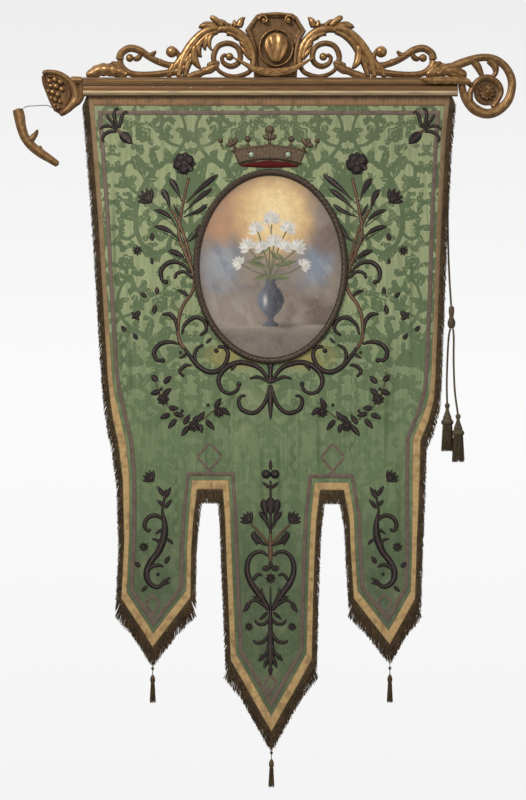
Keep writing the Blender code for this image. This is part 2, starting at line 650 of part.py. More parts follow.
def united(name, meshes, material, group, cutters, cut=None):
    """Overlapping meshes that become one solid, less an optional cutter, when join_all runs."""
    piece = add(name, meshes[0], material, group)
    tools = bpy.data.collections.new(name + " tools")
    cutters.children.link(tools)
    for index, mesh in enumerate(meshes[1:]):
        guide(f"{name} tool {index}", mesh, tools)
    UNIONS.append((piece, tools, guide(name + " cutter", cut, cutters) if cut else None))
    return piece


def guide(name, mesh, group):
    """An object that shapes another and isn't a piece."""
    helper = bpy.data.objects.new(name, mesh)
    group.objects.link(helper)
    helper.hide_render = True
    helper.display_type = "WIRE"
    return helper


def join_all():
    """The exact Booleans, added last so that each is worked out once."""
    for piece, tools, cutter in UNIONS:
        join = piece.modifiers.new("join", "BOOLEAN")
        join.operation = "UNION"
        join.operand_type = "COLLECTION"
        join.collection = tools
        if cutter:
            trim = piece.modifiers.new("trim", "BOOLEAN")
            trim.operation = "DIFFERENCE"
            trim.object = cutter


def crossbar(gilt, group):
    """The moulding: its section as a filled curve, extruded along the bar."""
    curve = bpy.data.curves.new("bar section", "CURVE")
    curve.dimensions = "2D"
    curve.fill_mode = "BOTH"
    curve.extrude = BAR_LENGTH / 2 * MM
    spline = curve.splines.new("POLY")
    spline.use_cyclic_u = True
    spline.points.add(len(BAR_SECTION) - 1)
    for point, (y, z) in zip(spline.points, BAR_SECTION):
        point.co = (y * MM, z * MM, 0, 1)
    section = bpy.data.objects.new("bar section", curve)
    section.rotation_euler = (math.pi / 2, 0, math.pi / 2)
    bpy.context.scene.collection.objects.link(section)
    bpy.context.view_layer.update()
    return add("crossbar", merged_mesh(section), gilt, group)


def bar_space():
    """The space that the bar and what is under it take up, cut out of the carving."""
    half = BAR_LENGTH / 2 + GAP
    front, back, foot = BAR_SPACE
    return block((-half, front, foot), (half, back, SEAT))


def cresting(gilt, group, cutters):
    """The carved openwork along the bar's top, with the whole scroll at its right end."""
    strokes = list(CREST_STROKES.values())
    strokes += [flipped(rows, CREST_MIDDLE) for rows in CREST_STROKES.values()]
    meshes = [
        block((-PLINTH_HALF_LENGTH, PLINTH_FRONT, SEAT), (PLINTH_HALF_LENGTH, PLINTH_BACK, PLINTH_TOP)),
    ]
    meshes += [carved(rows) for rows in strokes + list(RIGHT_END_STROKES.values())]
    for side in (CREST_BALLS, flipped(CREST_BALLS, CREST_MIDDLE), (RIGHT_ROSETTE,)):
        meshes += [disc(x, z, radius, BOSS_FRONT, BOSS_BACK) for x, z, radius in side]
    meshes.append(disc(*RIGHT_BACKING, BACKING_FRONT, BACKING_BACK))
    plate = flat_piece("plate", list(CARTOUCHE), CARTOUCHE_FRONT, CARTOUCHE_BACK, gilt, group)
    meshes.append(plate.data)
    bpy.data.objects.remove(plate)
    return united("cresting", meshes, gilt, group, cutters, bar_space())


def left_end(gilt, group, cutters):
    """What is left of the scroll at the bar's left end, with its cluster of beads."""
    meshes = [carved(rows) for rows in LEFT_END_STROKES.values()]
    meshes += [dome(x, BEAD_Y, z, radius) for x, z, radius in LEFT_BEADS]
    return united("left_end_scroll", meshes, gilt, group, cutters, bar_space())


def fragment(gilt, group, cutters):
    """The piece that came off the left scroll."""
    meshes = [carved(rows, 1) for rows in FRAGMENT_STROKES.values()]
    return united("scroll_fragment", meshes, gilt, group, cutters)


def garland(gilt, group):
    """The carved swag in front of the cartouche."""
    middle = CARTOUCHE_FRONT - GAP - GARLAND_HALF_DEPTH
    mesh = tube([(x, 0, z, half) for x, z, half in GARLAND], 1)
    widest = max(half for x, z, half in GARLAND)
    for vertex in mesh.vertices:
        vertex.co.y = middle * MM + vertex.co.y * GARLAND_HALF_DEPTH / widest
    return add("garland", mesh, gilt, group)


def picture(canvas, gold, group):
    """The oval canvas and its padded border, on the flat zone of the cloth."""
    ground = CLOTH_Y - CLOTH_THICK / 2 - GAP
    centre_scale = 1 - RIM_WIDTH / 2 / OVAL_HALF_WIDTH
    inner_scale = 1 - (RIM_WIDTH + 1) / OVAL_HALF_WIDTH
    flat_piece("oval_canvas", oval_ring(inner_scale), ground - CANVAS_THICK, ground, canvas, group)
    rim = tube([(x, 0, z, RIM_WIDTH / 2) for x, z in oval_ring(centre_scale)], 1, closed=True)
    for vertex in rim.vertices:
        vertex.co.y = (ground - RIM_DEPTH / 2) * MM + vertex.co.y * RIM_DEPTH / RIM_WIDTH
    return add("oval_rim", rim, gold, group)


def crown(gold, velvet, group, cutters):
    """The applied crown: band, stalks, balls and fleurons in one, and the velvet under it."""
    ground = CLOTH_Y - CLOTH_THICK / 2 - GAP
    band = flat_piece("crown band", list(CROWN_BAND), ground - CROWN_THICK, ground, gold, group)
    meshes = [band.data]
    bpy.data.objects.remove(band)
    meshes += [
        disc(x, z, radius, ground - CROWN_BALL_THICK, ground, CROWN_BALL_SIDES)
        for x, z, radius in CROWN_BALLS
    ]
    meshes += [
        block((x - half, ground - STALK_THICK, z - STALK_BELOW), (x + half, ground, z + STALK_ABOVE))
        for x, z, half in CROWN_STALKS
    ]
    united("crown", meshes, gold, group, cutters)
    flat_piece("crown_velvet", list(VELVET), ground - VELVET_THICK, ground, velvet, group)


def smooth_route(points, step):
    """Points at even steps along a smooth curve through a route's own points."""
    route = [Vector(point) for point in points]
    ends = [route[0] * 2 - route[1], *route, route[-1] * 2 - route[-2]]
    fine = []
    for p0, p1, p2, p3 in zip(ends, ends[1:], ends[2:], ends[3:]):
        for i in range(CURVE_SAMPLES):
            t = i / CURVE_SAMPLES
            fine.append(0.5 * (
                2 * p1 + (p2 - p0) * t + (2 * p0 - 5 * p1 + 4 * p2 - p3) * t * t
                + (3 * p1 - p0 - 3 * p2 + p3) * t ** 3
            ))
    fine.append(route[-1])
    total = sum((b - a).length for a, b in zip(fine, fine[1:]))
    count = max(2, round(total / step))
    out, walked, target = [fine[0]], 0.0, total / count
    for a, b in zip(fine, fine[1:]):
        span = (b - a).length
        while walked + span >= target * len(out) and len(out) < count:
            out.append(a.lerp(b, (target * len(out) - walked) / span))
        walked += span
    return out + [fine[-1]]


def cord(name, points, radius, step, resolution, material, group):
    """A tube along a smooth route."""
    stations = [(*point, radius) for point in smooth_route(points, step)]
    return add(name, tube(stations, resolution), material, group)


def turned(profile, x, y, z, sides):
    """A turned shape hanging from a place: radius and drop of each ring, closed at both ends."""
    mesh = bpy.data.meshes.new("profile")
    rings = [(0, profile[0][1]), *profile, (0, profile[-1][1])]
    points = [(radius * MM, 0, drop * MM) for radius, drop in rings]
    mesh.from_pydata(points, [(i, i + 1) for i in range(len(rings) - 1)], [])
    blank = bpy.data.objects.new("profile", mesh)
    bpy.context.scene.collection.objects.link(blank)
    screw = blank.modifiers.new("turn", "SCREW")
    screw.steps = screw.render_steps = sides
    screw.use_merge_vertices = True
    screw.merge_threshold = 0.00001
    bpy.context.view_layer.update()
    result = bpy.data.meshes.new_from_object(blank.evaluated_get(bpy.context.evaluated_depsgraph_get()))
    bpy.data.objects.remove(blank)
    welded(result)
    result.transform(Matrix.Translation((x * MM, y * MM, z * MM)))
    return result


def tassel(name, profile, locks, x, y, z, sides, thread, group, cutters):
    """A tassel: its turned head and core, with three-sided locks rooted in the head."""
    meshes = [turned(profile, x, y, z, sides)]
    for index in range(locks["count"]):
        turn = 2 * math.pi * (index + 0.5) / locks["count"]
        bpy.ops.mesh.primitive_cone_add(
            vertices=3, radius1=locks["radius"] * MM, radius2=locks["radius"] * LOCK_TAPER * MM,
            depth=(locks["top"] - locks["foot"]) * MM,
        )
        strand = bpy.context.object
        mesh = strand.data
        place = Matrix.Translation((
            (x + locks["ring"] * math.cos(turn)) * MM, (y + locks["ring"] * math.sin(turn)) * MM,
            (z + (locks["top"] + locks["foot"]) / 2) * MM,
        ))
        mesh.transform(place @ Matrix.Rotation(turn, 4, "Z"))
        bpy.data.objects.remove(strand)
        meshes.append(mesh)
    return united(name, meshes, thread, group, cutters)


def build():
    for old in list(bpy.data.objects):
        bpy.data.objects.remove(old)
    group = bpy.data.collections.new("church banner")
    cutters = bpy.data.collections.new("cutters")
    for collection in (group, cutters):
        bpy.context.scene.collection.children.link(collection)

    gilt = finish("gilt wood", (0.42, 0.24, 0.07), 0.4, 0.7)
    silk = finish("green silk", (0.10, 0.22, 0.09), 0.55)
    gold_silk = finish("gold galloon", (0.55, 0.38, 0.14), 0.6)
    pink_silk = finish("faded heading", (0.38, 0.22, 0.13), 0.65)
    grey_braid = finish("tarnished braid", (0.20, 0.16, 0.12), 0.6)
    bullion = finish("bullion fringe", (0.10, 0.06, 0.03), 0.55, 0.2)
    tarnished = finish("tarnished gold thread", (0.16, 0.10, 0.06), 0.5, 0.4)
    oil = finish("painted canvas", (0.45, 0.38, 0.28), 0.5)
    red = finish("red velvet", (0.25, 0.01, 0.02), 0.8)
    cord_silk = finish("brown cord", (0.09, 0.06, 0.04), 0.7)
    iron = finish("iron wire", (0.10, 0.10, 0.10), 0.45, 0.8)

    crossbar(gilt, group)
    cresting(gilt, group, cutters)
    garland(gilt, group)
    left_end(gilt, group, cutters)
    fragment(gilt, group, cutters)
    cord("fragment_wire", WIRE, WIRE_RADIUS, WIRE_STEP, 0, iron, group)
    cloth_pieces(silk, gold_silk, pink_silk, grey_braid, group)
    for name, run, pitch, width, length, spread, bare in FRINGES:
        fringe(name, run, pitch, width, length, spread, bare, bullion, group)
    picture(oil, tarnished, group)
    crown(tarnished, red, group, cutters)
    for name, x, z, thread_length in HEM_TASSELS:
        profile = ((HEM_THREAD_RADIUS, thread_length), *HEM_TASSEL_PROFILE)
        tassel(
            name, profile, HEM_TASSEL_LOCKS, x, CLOTH_Y, z - thread_length, HEM_TASSEL_SIDES, bullion,
            group, cutters,
        )
    cord("tie_cord", MAIN_CORD, CORD_RADIUS, CORD_STEP, 2, cord_silk, group)
    add("tie_knot", turned(KNOT_PROFILE, KNOT_X, CORD_Y, 0, KNOT_SIDES), cord_silk, group)
    for name, points in STRANDS:
        cord(name, points, CORD_RADIUS, CORD_STEP, 2, cord_silk, group)
    for name, x, y, z in TIE_TASSELS:
        tassel(
            name, TIE_TASSEL_PROFILE, TIE_TASSEL_LOCKS, x, y, z, TIE_TASSEL_SIDES, cord_silk, group, cutters,
        )
    join_all()


build()
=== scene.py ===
"""Looks of a church banner on a carved crossbar: silk, trims, embroidery, fringe and gilt carving.

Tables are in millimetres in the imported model's frame: x to the right, z up, the front towards -Y.
"""

import math
import random

import bmesh
import bpy
import numpy as np
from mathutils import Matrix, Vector, noise
from mathutils.geometry import delaunay_2d_cdt


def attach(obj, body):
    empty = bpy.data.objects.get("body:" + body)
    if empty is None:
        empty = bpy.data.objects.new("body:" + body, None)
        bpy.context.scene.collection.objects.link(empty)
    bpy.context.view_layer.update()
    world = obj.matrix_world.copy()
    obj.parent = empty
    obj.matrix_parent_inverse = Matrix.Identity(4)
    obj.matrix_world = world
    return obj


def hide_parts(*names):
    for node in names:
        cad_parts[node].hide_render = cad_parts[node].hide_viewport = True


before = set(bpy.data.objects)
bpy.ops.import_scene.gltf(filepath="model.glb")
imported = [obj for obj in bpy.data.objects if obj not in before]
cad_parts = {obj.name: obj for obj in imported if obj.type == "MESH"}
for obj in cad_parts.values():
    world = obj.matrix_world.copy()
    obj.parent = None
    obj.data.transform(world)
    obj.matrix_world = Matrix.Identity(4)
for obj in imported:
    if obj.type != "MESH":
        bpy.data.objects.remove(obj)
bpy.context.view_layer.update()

MM = 0.001

# Camera: level, facing the banner, its field 2.56 m high at the cloth
CAMERA_DISTANCE = 7.0
FIELD_HEIGHT = 2.56
CAMERA_AIM = (-0.0240, -0.036, -1.0)
SENSOR = 36

# Crossbar moulding
BAR_LENGTH = 1197
BAR_FRONT = (                # y, z from the back of the top edge round the front to the rebate
    (0, 30), (-54, 30), (-56.5, 29.3), (-58, 27.5), (-58.3, 23), (-58, 19.5), (-55, 17.5), (-51.5, 15.5),
    (-49, 13), (-47.4, 10.5), (-47.5, 8), (-49, 5.5), (-51, 3), (-52, 1), (-52.4, -5), (-52, -10.5),
    (-54, -11.6), (-57, -12.6), (-59.6, -14.6), (-60.5, -17), (-59.6, -19.4), (-57, -21.3), (-53, -22.6),
    (-51, -23.5), (-50.4, -27), (-49.5, -29.6), (-48, -30), (-44, -30), (-44, -10), (0, -10),
)
BAR_STEP = 18
BAR_SHADED_BANDS = (                # share of the height from the foot, colour with the painted highlight and painted shade of each moulding
    (0.0, (0.045, 0.022, 0.010)), (0.05, (0.11, 0.055, 0.025)), (0.09, (0.62, 0.40, 0.20)),
    (0.14, (1.0, 0.92, 0.66)), (0.20, (0.78, 0.60, 0.37)), (0.26, (0.46, 0.29, 0.14)),
    (0.33, (0.19, 0.10, 0.036)), (0.45, (0.19, 0.098, 0.036)), (0.55, (0.10, 0.05, 0.018)),
    (0.63, (0.045, 0.020, 0.008)), (0.69, (0.22, 0.12, 0.05)), (0.76, (0.80, 0.50, 0.23)),
    (0.82, (0.62, 0.38, 0.17)), (0.88, (0.16, 0.09, 0.04)), (0.94, (0.09, 0.05, 0.022)),
    (1.0, (0.26, 0.16, 0.08)),
)

# Cloth and what is sewn on it
CLOTH_Y = -36
CLOTH_THICK = 1.4
TRIM_LIFT = 0.3
EDGE_STEP = 84
FINE_STEP = 9
FRONT_SPACING = 5.3          # between two points of the cloth's face
BACK_SPACING = 26
EDGE_CURL = 13
CURL_WIDTH = 40
CURL_TOP, CURL_TOP_FADE = -30, 120
CURL_FOOT, CURL_FOOT_FADE = -1110, 160

# Edge of the cloth, anticlockwise from the top left as the front is seen.
# Columns: x, z, width of the galloon, near and far side of the narrow braid from the edge.
LEFT_SIDE = (
    (-585, -16, 17, 27, 41), (-573, -170, 17, 27, 41), (-553, -425, 17, 26, 40), (-538, -680, 16, 24, 38),
    (-522, -935, 16, 24, 38), (-515, -1000, 18, 30, 44), (-505, -1065, 24, 34, 48),
    (-490, -1130, 28, 37, 51), (-474, -1255, 24, 33, 47), (-469, -1450, 17, 25, 39),
    (-478, -1637, 17, 25, 39),
)
LEFT_HEM = (
    (-478, -1637, 27, 38, 52), (-437, -1700, 27, 38, 52), (-377, -1793, 27, 38, 52),
    (-305, -1699, 27, 38, 52),
    (-255, -1634, 27, 38, 52),
)
LEFT_SLOT_OUTER = (
    (-255, -1634, 15, 24, 38), (-253, -1480, 15, 24, 38), (-246, -1384, 17, 26, 39),
    (-234, -1288, 22, 30, 42),
)
LEFT_SLOT_HEAD = ((-234, -1288, 32, 45, 58), (-154, -1288, 32, 45, 58))
LEFT_SLOT_INNER = (
    (-154, -1288, 24, 33, 45), (-146, -1384, 19, 28, 41), (-143, -1480, 19, 28, 41),
    (-137, -1624, 19, 28, 41),
    (-128, -1835, 19, 28, 41),
)
MIDDLE_HEM = (
    (-128, -1835, 27, 38, 52), (-69, -1938, 27, 38, 52), (3, -2065, 27, 38, 52), (75, -1936, 27, 38, 52),
    (133, -1832, 27, 38, 52),
)
RIGHT_SLOT_INNER = (
    (133, -1832, 19, 28, 41), (138, -1624, 19, 28, 41), (143, -1480, 19, 28, 41), (148, -1384, 19, 28, 41),
    (160, -1290, 24, 33, 45),
)
RIGHT_SLOT_HEAD = ((160, -1290, 26, 40, 53), (234, -1290, 26, 40, 53))
RIGHT_SLOT_OUTER = (
    (234, -1290, 22, 30, 42), (252, -1384, 17, 26, 39), (256, -1480, 15, 24, 38), (266, -1637, 15, 24, 38),
)
RIGHT_HEM = (
    (266, -1637, 27, 38, 52), (312, -1696, 27, 38, 52), (382, -1786, 27, 38, 52), (431, -1697, 27, 38, 52),
    (464, -1637, 27, 38, 52),
)
RIGHT_SIDE = (
    (464, -1637, 17, 25, 39), (470, -1450, 17, 25, 39), (477, -1288, 24, 33, 47), (482, -1130, 28, 37, 51),
    (508, -1065, 24, 34, 48), (525, -1000, 18, 30, 44), (530, -935, 16, 24, 38), (540, -680, 16, 24, 38),
    (550, -425, 17, 26, 40), (563, -170, 17, 27, 41), (576, -16, 17, 27, 41),
)
TOP = ((576, -16, 43, 58, 72), (-585, -16, 43, 58, 72))
EDGE = (
    LEFT_SIDE, LEFT_HEM, LEFT_SLOT_OUTER, LEFT_SLOT_HEAD, LEFT_SLOT_INNER, MIDDLE_HEM,
    RIGHT_SLOT_INNER, RIGHT_SLOT_HEAD, RIGHT_SLOT_OUTER, RIGHT_HEM, RIGHT_SIDE, TOP,
)
HEMS = (LEFT_HEM, MIDDLE_HEM, RIGHT_HEM)
GALLOON, BRAID_NEAR, BRAID_FAR = 2, 3, 4
GALLOON_THICK = 1.3
BRAID_THICK = 1.0
NEARLY_STRAIGHT = 0.05

# Soft folds of the whole cloth. Columns: x and z at the top, x and z at the foot, half width, height
# (forward is positive), and whether the fold runs out through the hem.
FOLD_RISE, FOLD_FALL = 0.3, 0.25
NARROW_CREASE = 20           # folds of less than this half width also get painted shade along them on the silk
CREASE_SHADE = 5.5
FOLDS = (
    (-470, -150, -455, -1050, 62, -5, False),
    (-415, -330, -400, -1250, 50, 4, False),
    (430, -200, 420, -1150, 60, -5, False),
    (375, -650, 365, -1320, 46, 6, False),
    (268, -760, 262, -1330, 44, -6, False),
    (149, -900, 150, -1300, 38, 6, False),
    (86, -960, 84, -1500, 36, -6, False),
    (15, -1000, 20, -1440, 42, 4, False),
    (-123, -940, -128, -1330, 44, -7, False),
    (-205, -980, -200, -1300, 40, 5, False),
    (-330, -960, -322, -1420, 44, -5, False),
    (-410, -1120, -412, -1900, 44, -6, True),
    (-372, -1290, -372, -1960, 34, 6, True),
    (-312, -1330, -322, -1900, 40, -6, True),
    (-95, -1350, -90, -2150, 44, -7, True),
    (-40, -1400, -36, -2200, 38, 6, True),
    (36, -1380, 30, -2200, 42, -5, True),
    (92, -1330, 88, -2100, 40, 7, True),
    (310, -1330, 330, -1950, 40, 6, True),
    (370, -1300, 384, -1950, 38, -6, True),
    (425, -1150, 430, -1900, 44, 5, True),
    # Narrow creases, placed on the broad folds
    (-474, -760, -462, -1060, 11, -3.0, False),
    (-458, -700, -447, -1010, 13, 2.5, False),
    (-123, -930, -126, -1270, 12, -3.2, False),
    (85, -960, 80, -1270, 12, -3.4, False),
    (149, -930, 152, -1250, 13, 2.8, False),
    (270, -800, 262, -1250, 14, -3.2, False),
    (373, -760, 366, -1240, 13, 3.0, False),
    (-30, -1120, -26, -1420, 10, 1.9, False),
    (24, -1110, 28, -1400, 10, -2.1, False),
    (-205, -1010, -206, -1280, 11, 2.5, False),
    (-300, -1130, -304, -1500, 12, -2.7, False),
    (408, -1150, 412, -1560, 12, -2.7, False),
    (455, -330, 446, -980, 14, 2.3, False),
    (-505, -260, -494, -900, 12, 2.1, False),
)

# Oval picture, the roll round it and the beads inside the roll
OVAL_X, OVAL_Z = 0, -573
OVAL_HALF_WIDTH, OVAL_HALF_HEIGHT = 240, 304
RIM_WIDTH = 17
RIM_DEPTH = 9
FLAT_ZONE = 1.06
FLAT_FADE = 0.35
CANVAS_RINGS, CANVAS_TURNS = 112, 480
ROLL_STEPS, ROLL_SIDES, ROLL_WINDS = 720, 14, 108
PICTURE_BEADS, BEAD_INSET = 236, 11

# Embroidery in metal thread, left half; the right half is its mirror image about the middle.
# Strokes: x, z, half width. A stroke whose name ends in stem is laid in copper thread.
SIDE_STROKES = {
    "rose stem": (
        (-261, -286, 3.2), (-275, -347, 3.5), (-286, -405, 3.8), (-293, -469, 3.8), (-274, -526, 4.2),
        (-251, -584, 4.5), (-242, -626, 4.5), (-254, -661, 4.2), (-277, -693, 4.2), (-291, -731, 4.2),
        (-296, -776, 4.2), (-290, -814, 4.2), (-267, -846, 4.2),
    ),
    "bell stem": (
        (-318, -389, 2.9), (-302, -418, 3.5), (-285, -453, 3.8), (-270, -498, 3.8), (-253, -558, 3.8),
    ),
    "scroll above": (
        (-254, -594, 3.2), (-283, -566, 4.8), (-318, -558, 6.4), (-346, -578, 6.4), (-350, -606, 5.4),
        (-339, -626, 5.1),
    ),
    "curl above": (
        (-248, -613, 2.2), (-275, -590, 4.5), (-299, -595, 4.8), (-307, -613, 3.8),
    ),
    "curved leaf": (
        (-349, -725, 2.2), (-322, -726, 6.1), (-304, -747, 5.4), (-298, -782, 2.9),
    ),
    "lower scroll": (
        (-293, -821, 3.2), (-322, -814, 5.4), (-355, -822, 6.4), (-373, -848, 6.1), (-363, -872, 5.1),
        (-347, -872, 4.8),
    ),
    "great scroll": (
        (-277, -830, 3.8), (-256, -862, 5.8), (-229, -893, 7), (-197, -910, 7.4), (-168, -906, 7),
        (-146, -885, 6.4), (-136, -854, 5.8), (-147, -832, 5.1), (-171, -829, 4.8),
    ),
    "inner scroll": (
        (-229, -891, 2.6), (-243, -862, 4.8), (-235, -835, 4.8), (-213, -822, 3.2),
    ),
    "curl by the oval": (
        (-284, -792, 2.9), (-274, -758, 4.8), (-242, -736, 5.8), (-213, -747, 5.8), (-205, -774, 5.1),
        (-226, -794, 4.2),
    ),
    "hook below": (
        (-251, -888, 2.6), (-275, -891, 5.1), (-290, -909, 5.1), (-275, -926, 3.5),
    ),
    "bottom arm": (
        (0, -946, 3.8), (-27, -907, 5.8), (-56, -888, 6.7), (-104, -880, 7.4), (-147, -901, 7.4),
        (-166, -936, 6.4), (-155, -968, 5.4), (-130, -979, 4.8), (-107, -968, 4.5), (-101, -949, 4.5),
    ),
    "short arm": ((-2, -946, 3), (-20, -934, 4.6), (-44, -926, 4.6), (-68, -932, 2.6)),
    "arm spur": ((-106, -884, 2.6), (-120, -896, 4.6), (-126, -908, 2.2)),
    "bottom curl": (
        (-2, -950, 3), (-7, -978, 5), (-19, -1010, 5.6), (-38, -1033, 5.8), (-62, -1042, 6.1),
        (-93, -1029, 6.1), (-102, -1003, 5.1),
        (-93, -987, 4.2), (-78, -987, 3.5),
    ),
    "garland stem": (
        (-370, -910, 0.9), (-363, -955, 1.2), (-341, -1003, 1.2), (-306, -1042, 1.2), (-264, -1070, 1.2),
        (-226, -1067, 1.2), (-187, -1038, 1.2), (-149, -1006, 0.9),
    ),
    "tail scroll": (
        (-335, -1284, 2.4), (-341, -1322, 3.2), (-346, -1356, 3.6), (-340, -1384, 6.2), (-338, -1415, 9.2),
        (-343, -1446, 10.4), (-358, -1484, 9.2), (-382, -1516, 8.6), (-396, -1547, 8.8), (-394, -1574, 8.2),
        (-380, -1592, 7), (-360, -1598, 6), (-343, -1588, 5), (-321, -1584, 2.4),
    ),
    "tail fork": ((-352, -1592, 3), (-340, -1580, 4.4), (-320, -1568, 2.2)),
    "tail hook": (
        (-342, -1388, 3.2), (-352, -1376, 5.2), (-368, -1369, 5.8), (-388, -1374, 6), (-401, -1390, 5.8),
        (-402, -1408, 5.2), (-392, -1419, 4.6), (-382, -1411, 3.6),
    ),
    "tail branch": ((-352, -1482, 5), (-353, -1461, 5.4), (-363, -1448, 4.2), (-381, -1444, 2.2)),
    "tail curl": (
        (-391, -1544, 4), (-376, -1531, 5.2), (-356, -1528, 4.4), (-341, -1535, 2.4),
    ),
    "heart arm": (
        (-8, -1500, 3), (-23, -1488, 4.6), (-43, -1486, 5.4), (-63, -1499, 6.2), (-74, -1526, 7),
        (-73, -1557, 8), (-60, -1589, 8.8), (-39, -1618, 8.8), (-20, -1645, 8), (-6, -1674, 5.5),
    ),
    "heart volute": ((-2, -1516, 3), (-4, -1533, 4.4), (-13, -1543, 4.6), (-23, -1539, 4), (-21, -1531, 3)),
    "heart branch": ((-56, -1579, 4), (-50, -1567, 4.6), (-38, -1557, 4.2), (-24, -1563, 2.2)),
    "heart twig": ((-20, -1633, 4), (-29, -1616, 4.2), (-27, -1600, 2.2)),
    "heart foot": (
        (-12, -1664, 4), (-29, -1650, 5), (-48, -1640, 4.4), (-63, -1645, 3.4), (-66, -1653, 2.2),
    ),
    "foot curl": (
        (-1, -1694, 3.2), (-8, -1707, 4.4), (-23, -1717, 4.6), (-41, -1715, 4.2), (-51, -1702, 3.2),
    ),
    "foot hook": (
        (-3, -1737, 3.4), (-11, -1760, 4.8), (-27, -1774, 4.8), (-46, -1776, 4.2), (-57, -1767, 2.8),
    ),
    "foot fork": ((-4, -1782, 3.2), (-11, -1806, 4.8), (-22, -1818, 4.2), (-35, -1816, 2.4)),
    "foot petal": ((-3, -1812, 3.4), (-10, -1832, 4.8), (-20, -1836, 2.6)),
    "tulip stem": (
        (-2, -1464, 2.9), (-24, -1438, 3.2), (-46, -1413, 2.9), (-64, -1397, 2.2),
    ),
    "corner frond": (
        (-486, -132, 3), (-497, -106, 5.2), (-500, -82, 5.2), (-493, -68, 4.2), (-484, -72, 2.4),
    ),
    "corner outer frond": (
        (-490, -141, 3), (-513, -141, 5.2), (-531, -150, 5.2), (-538, -166, 4.4), (-531, -176, 2.4),
    ),
    "corner inner frond": (
        (-484, -131, 3), (-478, -106, 5), (-473, -87, 5), (-463, -78, 4.4), (-454, -84, 2.4),
    ),
    "corner left frond": ((-490, -136, 3), (-513, -124, 4.8), (-535, -125, 4.4), (-547, -135, 2.4)),
    "corner top frond": ((-489, -133, 2.6), (-508, -110, 4.4), (-520, -96, 4), (-524, -84, 2.2)),
    "corner stem": ((-490, -134, 3), (-478, -148, 4), (-452, -172, 2.4)),
}
MIDDLE_STROKES = {
    "pendant": (
        (0, -955, 3.2), (0, -987, 8.3), (0, -1026, 6.4), (0, -1064, 1.6),
    ),
    "picture bracket": (
        (0, -866, 16), (0, -880, 12), (0, -898, 7.5), (0, -925, 6), (0, -949, 5.8),
    ),
    "centre spine": (
        (0, -1256, 2.9), (0, -1320, 3.2), (0, -1384, 3.5), (0, -1430, 3.8),
    ),
    "centre stem": ((0, -1424, 3), (0, -1452, 4.6), (0, -1486, 5.4), (0, -1518, 4.4)),
    "thin spine": ((0, -1596, 1.8), (0, -1640, 2.6), (0, -1676, 4)),
    "plume": (
        (0, -1668, 4), (0, -1737, 6.6), (0, -1782, 9.5), (0, -1814, 12), (0, -1838, 9), (0, -1852, 3),
    ),
}
# Leaves and buds: base x and z, tip x and z, half width, bow to the left of the way out.
SIDE_LEAVES = (
    (-285, -363, -323, -290, 8, -3.2), (-272, -370, -168, -278, 7.4, 3.2),
    (-275, -398, -187, -323, 6.7, 3.2), (-322, -392, -349, -326, 8.3, -6.4),
    (-302, -446, -372, -392, 6.1, -12.8), (-278, -414, -202, -373, 5.8, -6.4),
    (-291, -494, -372, -445, 6.7, -12.8), (-278, -498, -227, -437, 6.1, -12.8),
    (-267, -562, -327, -523, 7.4, -9.6), (-290, -414, -312, -371, 4.8, 0),
    (-264, -667, -301, -648, 6.1, -3.2), (-379, -490, -378, -464, 7.7, 0),
    (-378, -565, -381, -544, 5.8, 0), (-363, -661, -363, -637, 7.4, 0), (-397, -670, -416, -656, 7.4, 0),
    (-373, -723, -368, -694, 8.3, 0), (-418, -715, -445, -738, 9.6, 3.2),
    (-421, -744, -445, -718, 7.7, 0), (-464, -779, -478, -762, 7.7, 0), (-426, -805, -440, -786, 7.7, 0),
    (-267, -846, -294, -867, 5.1, 3.2), (-206, -818, -187, -800, 5.1, 0),
    (-362, -939, -381, -920, 10.2, 0), (-341, -946, -317, -923, 9.6, 0),
    (-354, -971, -384, -981, 10.2, 0), (-344, -984, -317, -962, 9.6, 0),
    (-325, -1026, -294, -1026, 9.3, 0), (-309, -1042, -277, -1051, 9.3, 0),
    (-322, -1045, -354, -1059, 9.6, 0), (-302, -1061, -328, -1091, 9.6, 0),
    (-277, -1077, -258, -1046, 9.3, 0), (-248, -1070, -226, -1048, 9.3, 0),
    (-261, -1083, -285, -1115, 9.6, 0), (-232, -1067, -210, -1035, 9, 0),
    (-226, -1077, -219, -1106, 9, 0), (-206, -1064, -179, -1096, 9.6, 0),
    (-178, -1026, -158, -992, 9.3, 0), (-158, -1026, -130, -1048, 9.6, 0),
    (-341, -1307, -362, -1275, 7.7, 0), (-339, -1314, -318, -1278, 7.7, 0),
    (-341, -1339, -363, -1320, 6.4, 0), (-338, -1346, -315, -1317, 7, 0),
    (-418, -1534, -435, -1518, 8, 0), (-338, -1522, -322, -1499, 7.7, 0),
    (-395, -1595, -414, -1614, 6.4, 0), (-333, -1445, -312, -1464, 5.8, 3.2),
    (-341, -1410, -370, -1429, 5.1, 0),
    (-4, -1468, -60, -1424, 9.5, 6.4), (-51, -1418, -42, -1466, 7.5, -3.2),
    (-69, -1646, -88, -1678, 8.3, 3.2), (-27, -1640, -59, -1627, 5.8, 0), (-18, -1816, -40, -1835, 7, 0),
    (-11, -1832, -21, -1858, 7, 0), (-2, -1282, -27, -1262, 5.8, 0), (-5, -1413, -37, -1358, 7.7, -6.4),
    (-8, -1678, -37, -1704, 5.8, 0),
    (-480, -145, -442, -180, 17, 0),
)
MIDDLE_LEAVES = (
    (0, -1384, 0, -1310, 13.4, 0), (-8, -1381, -22, -1317, 10.2, 3.2), (8, -1381, 22, -1317, 10.2, -3.2),
    (0, -1851, 0, -1883, 7.7, 0), (0, -1224, 0, -1189, 6.1, 0),
)
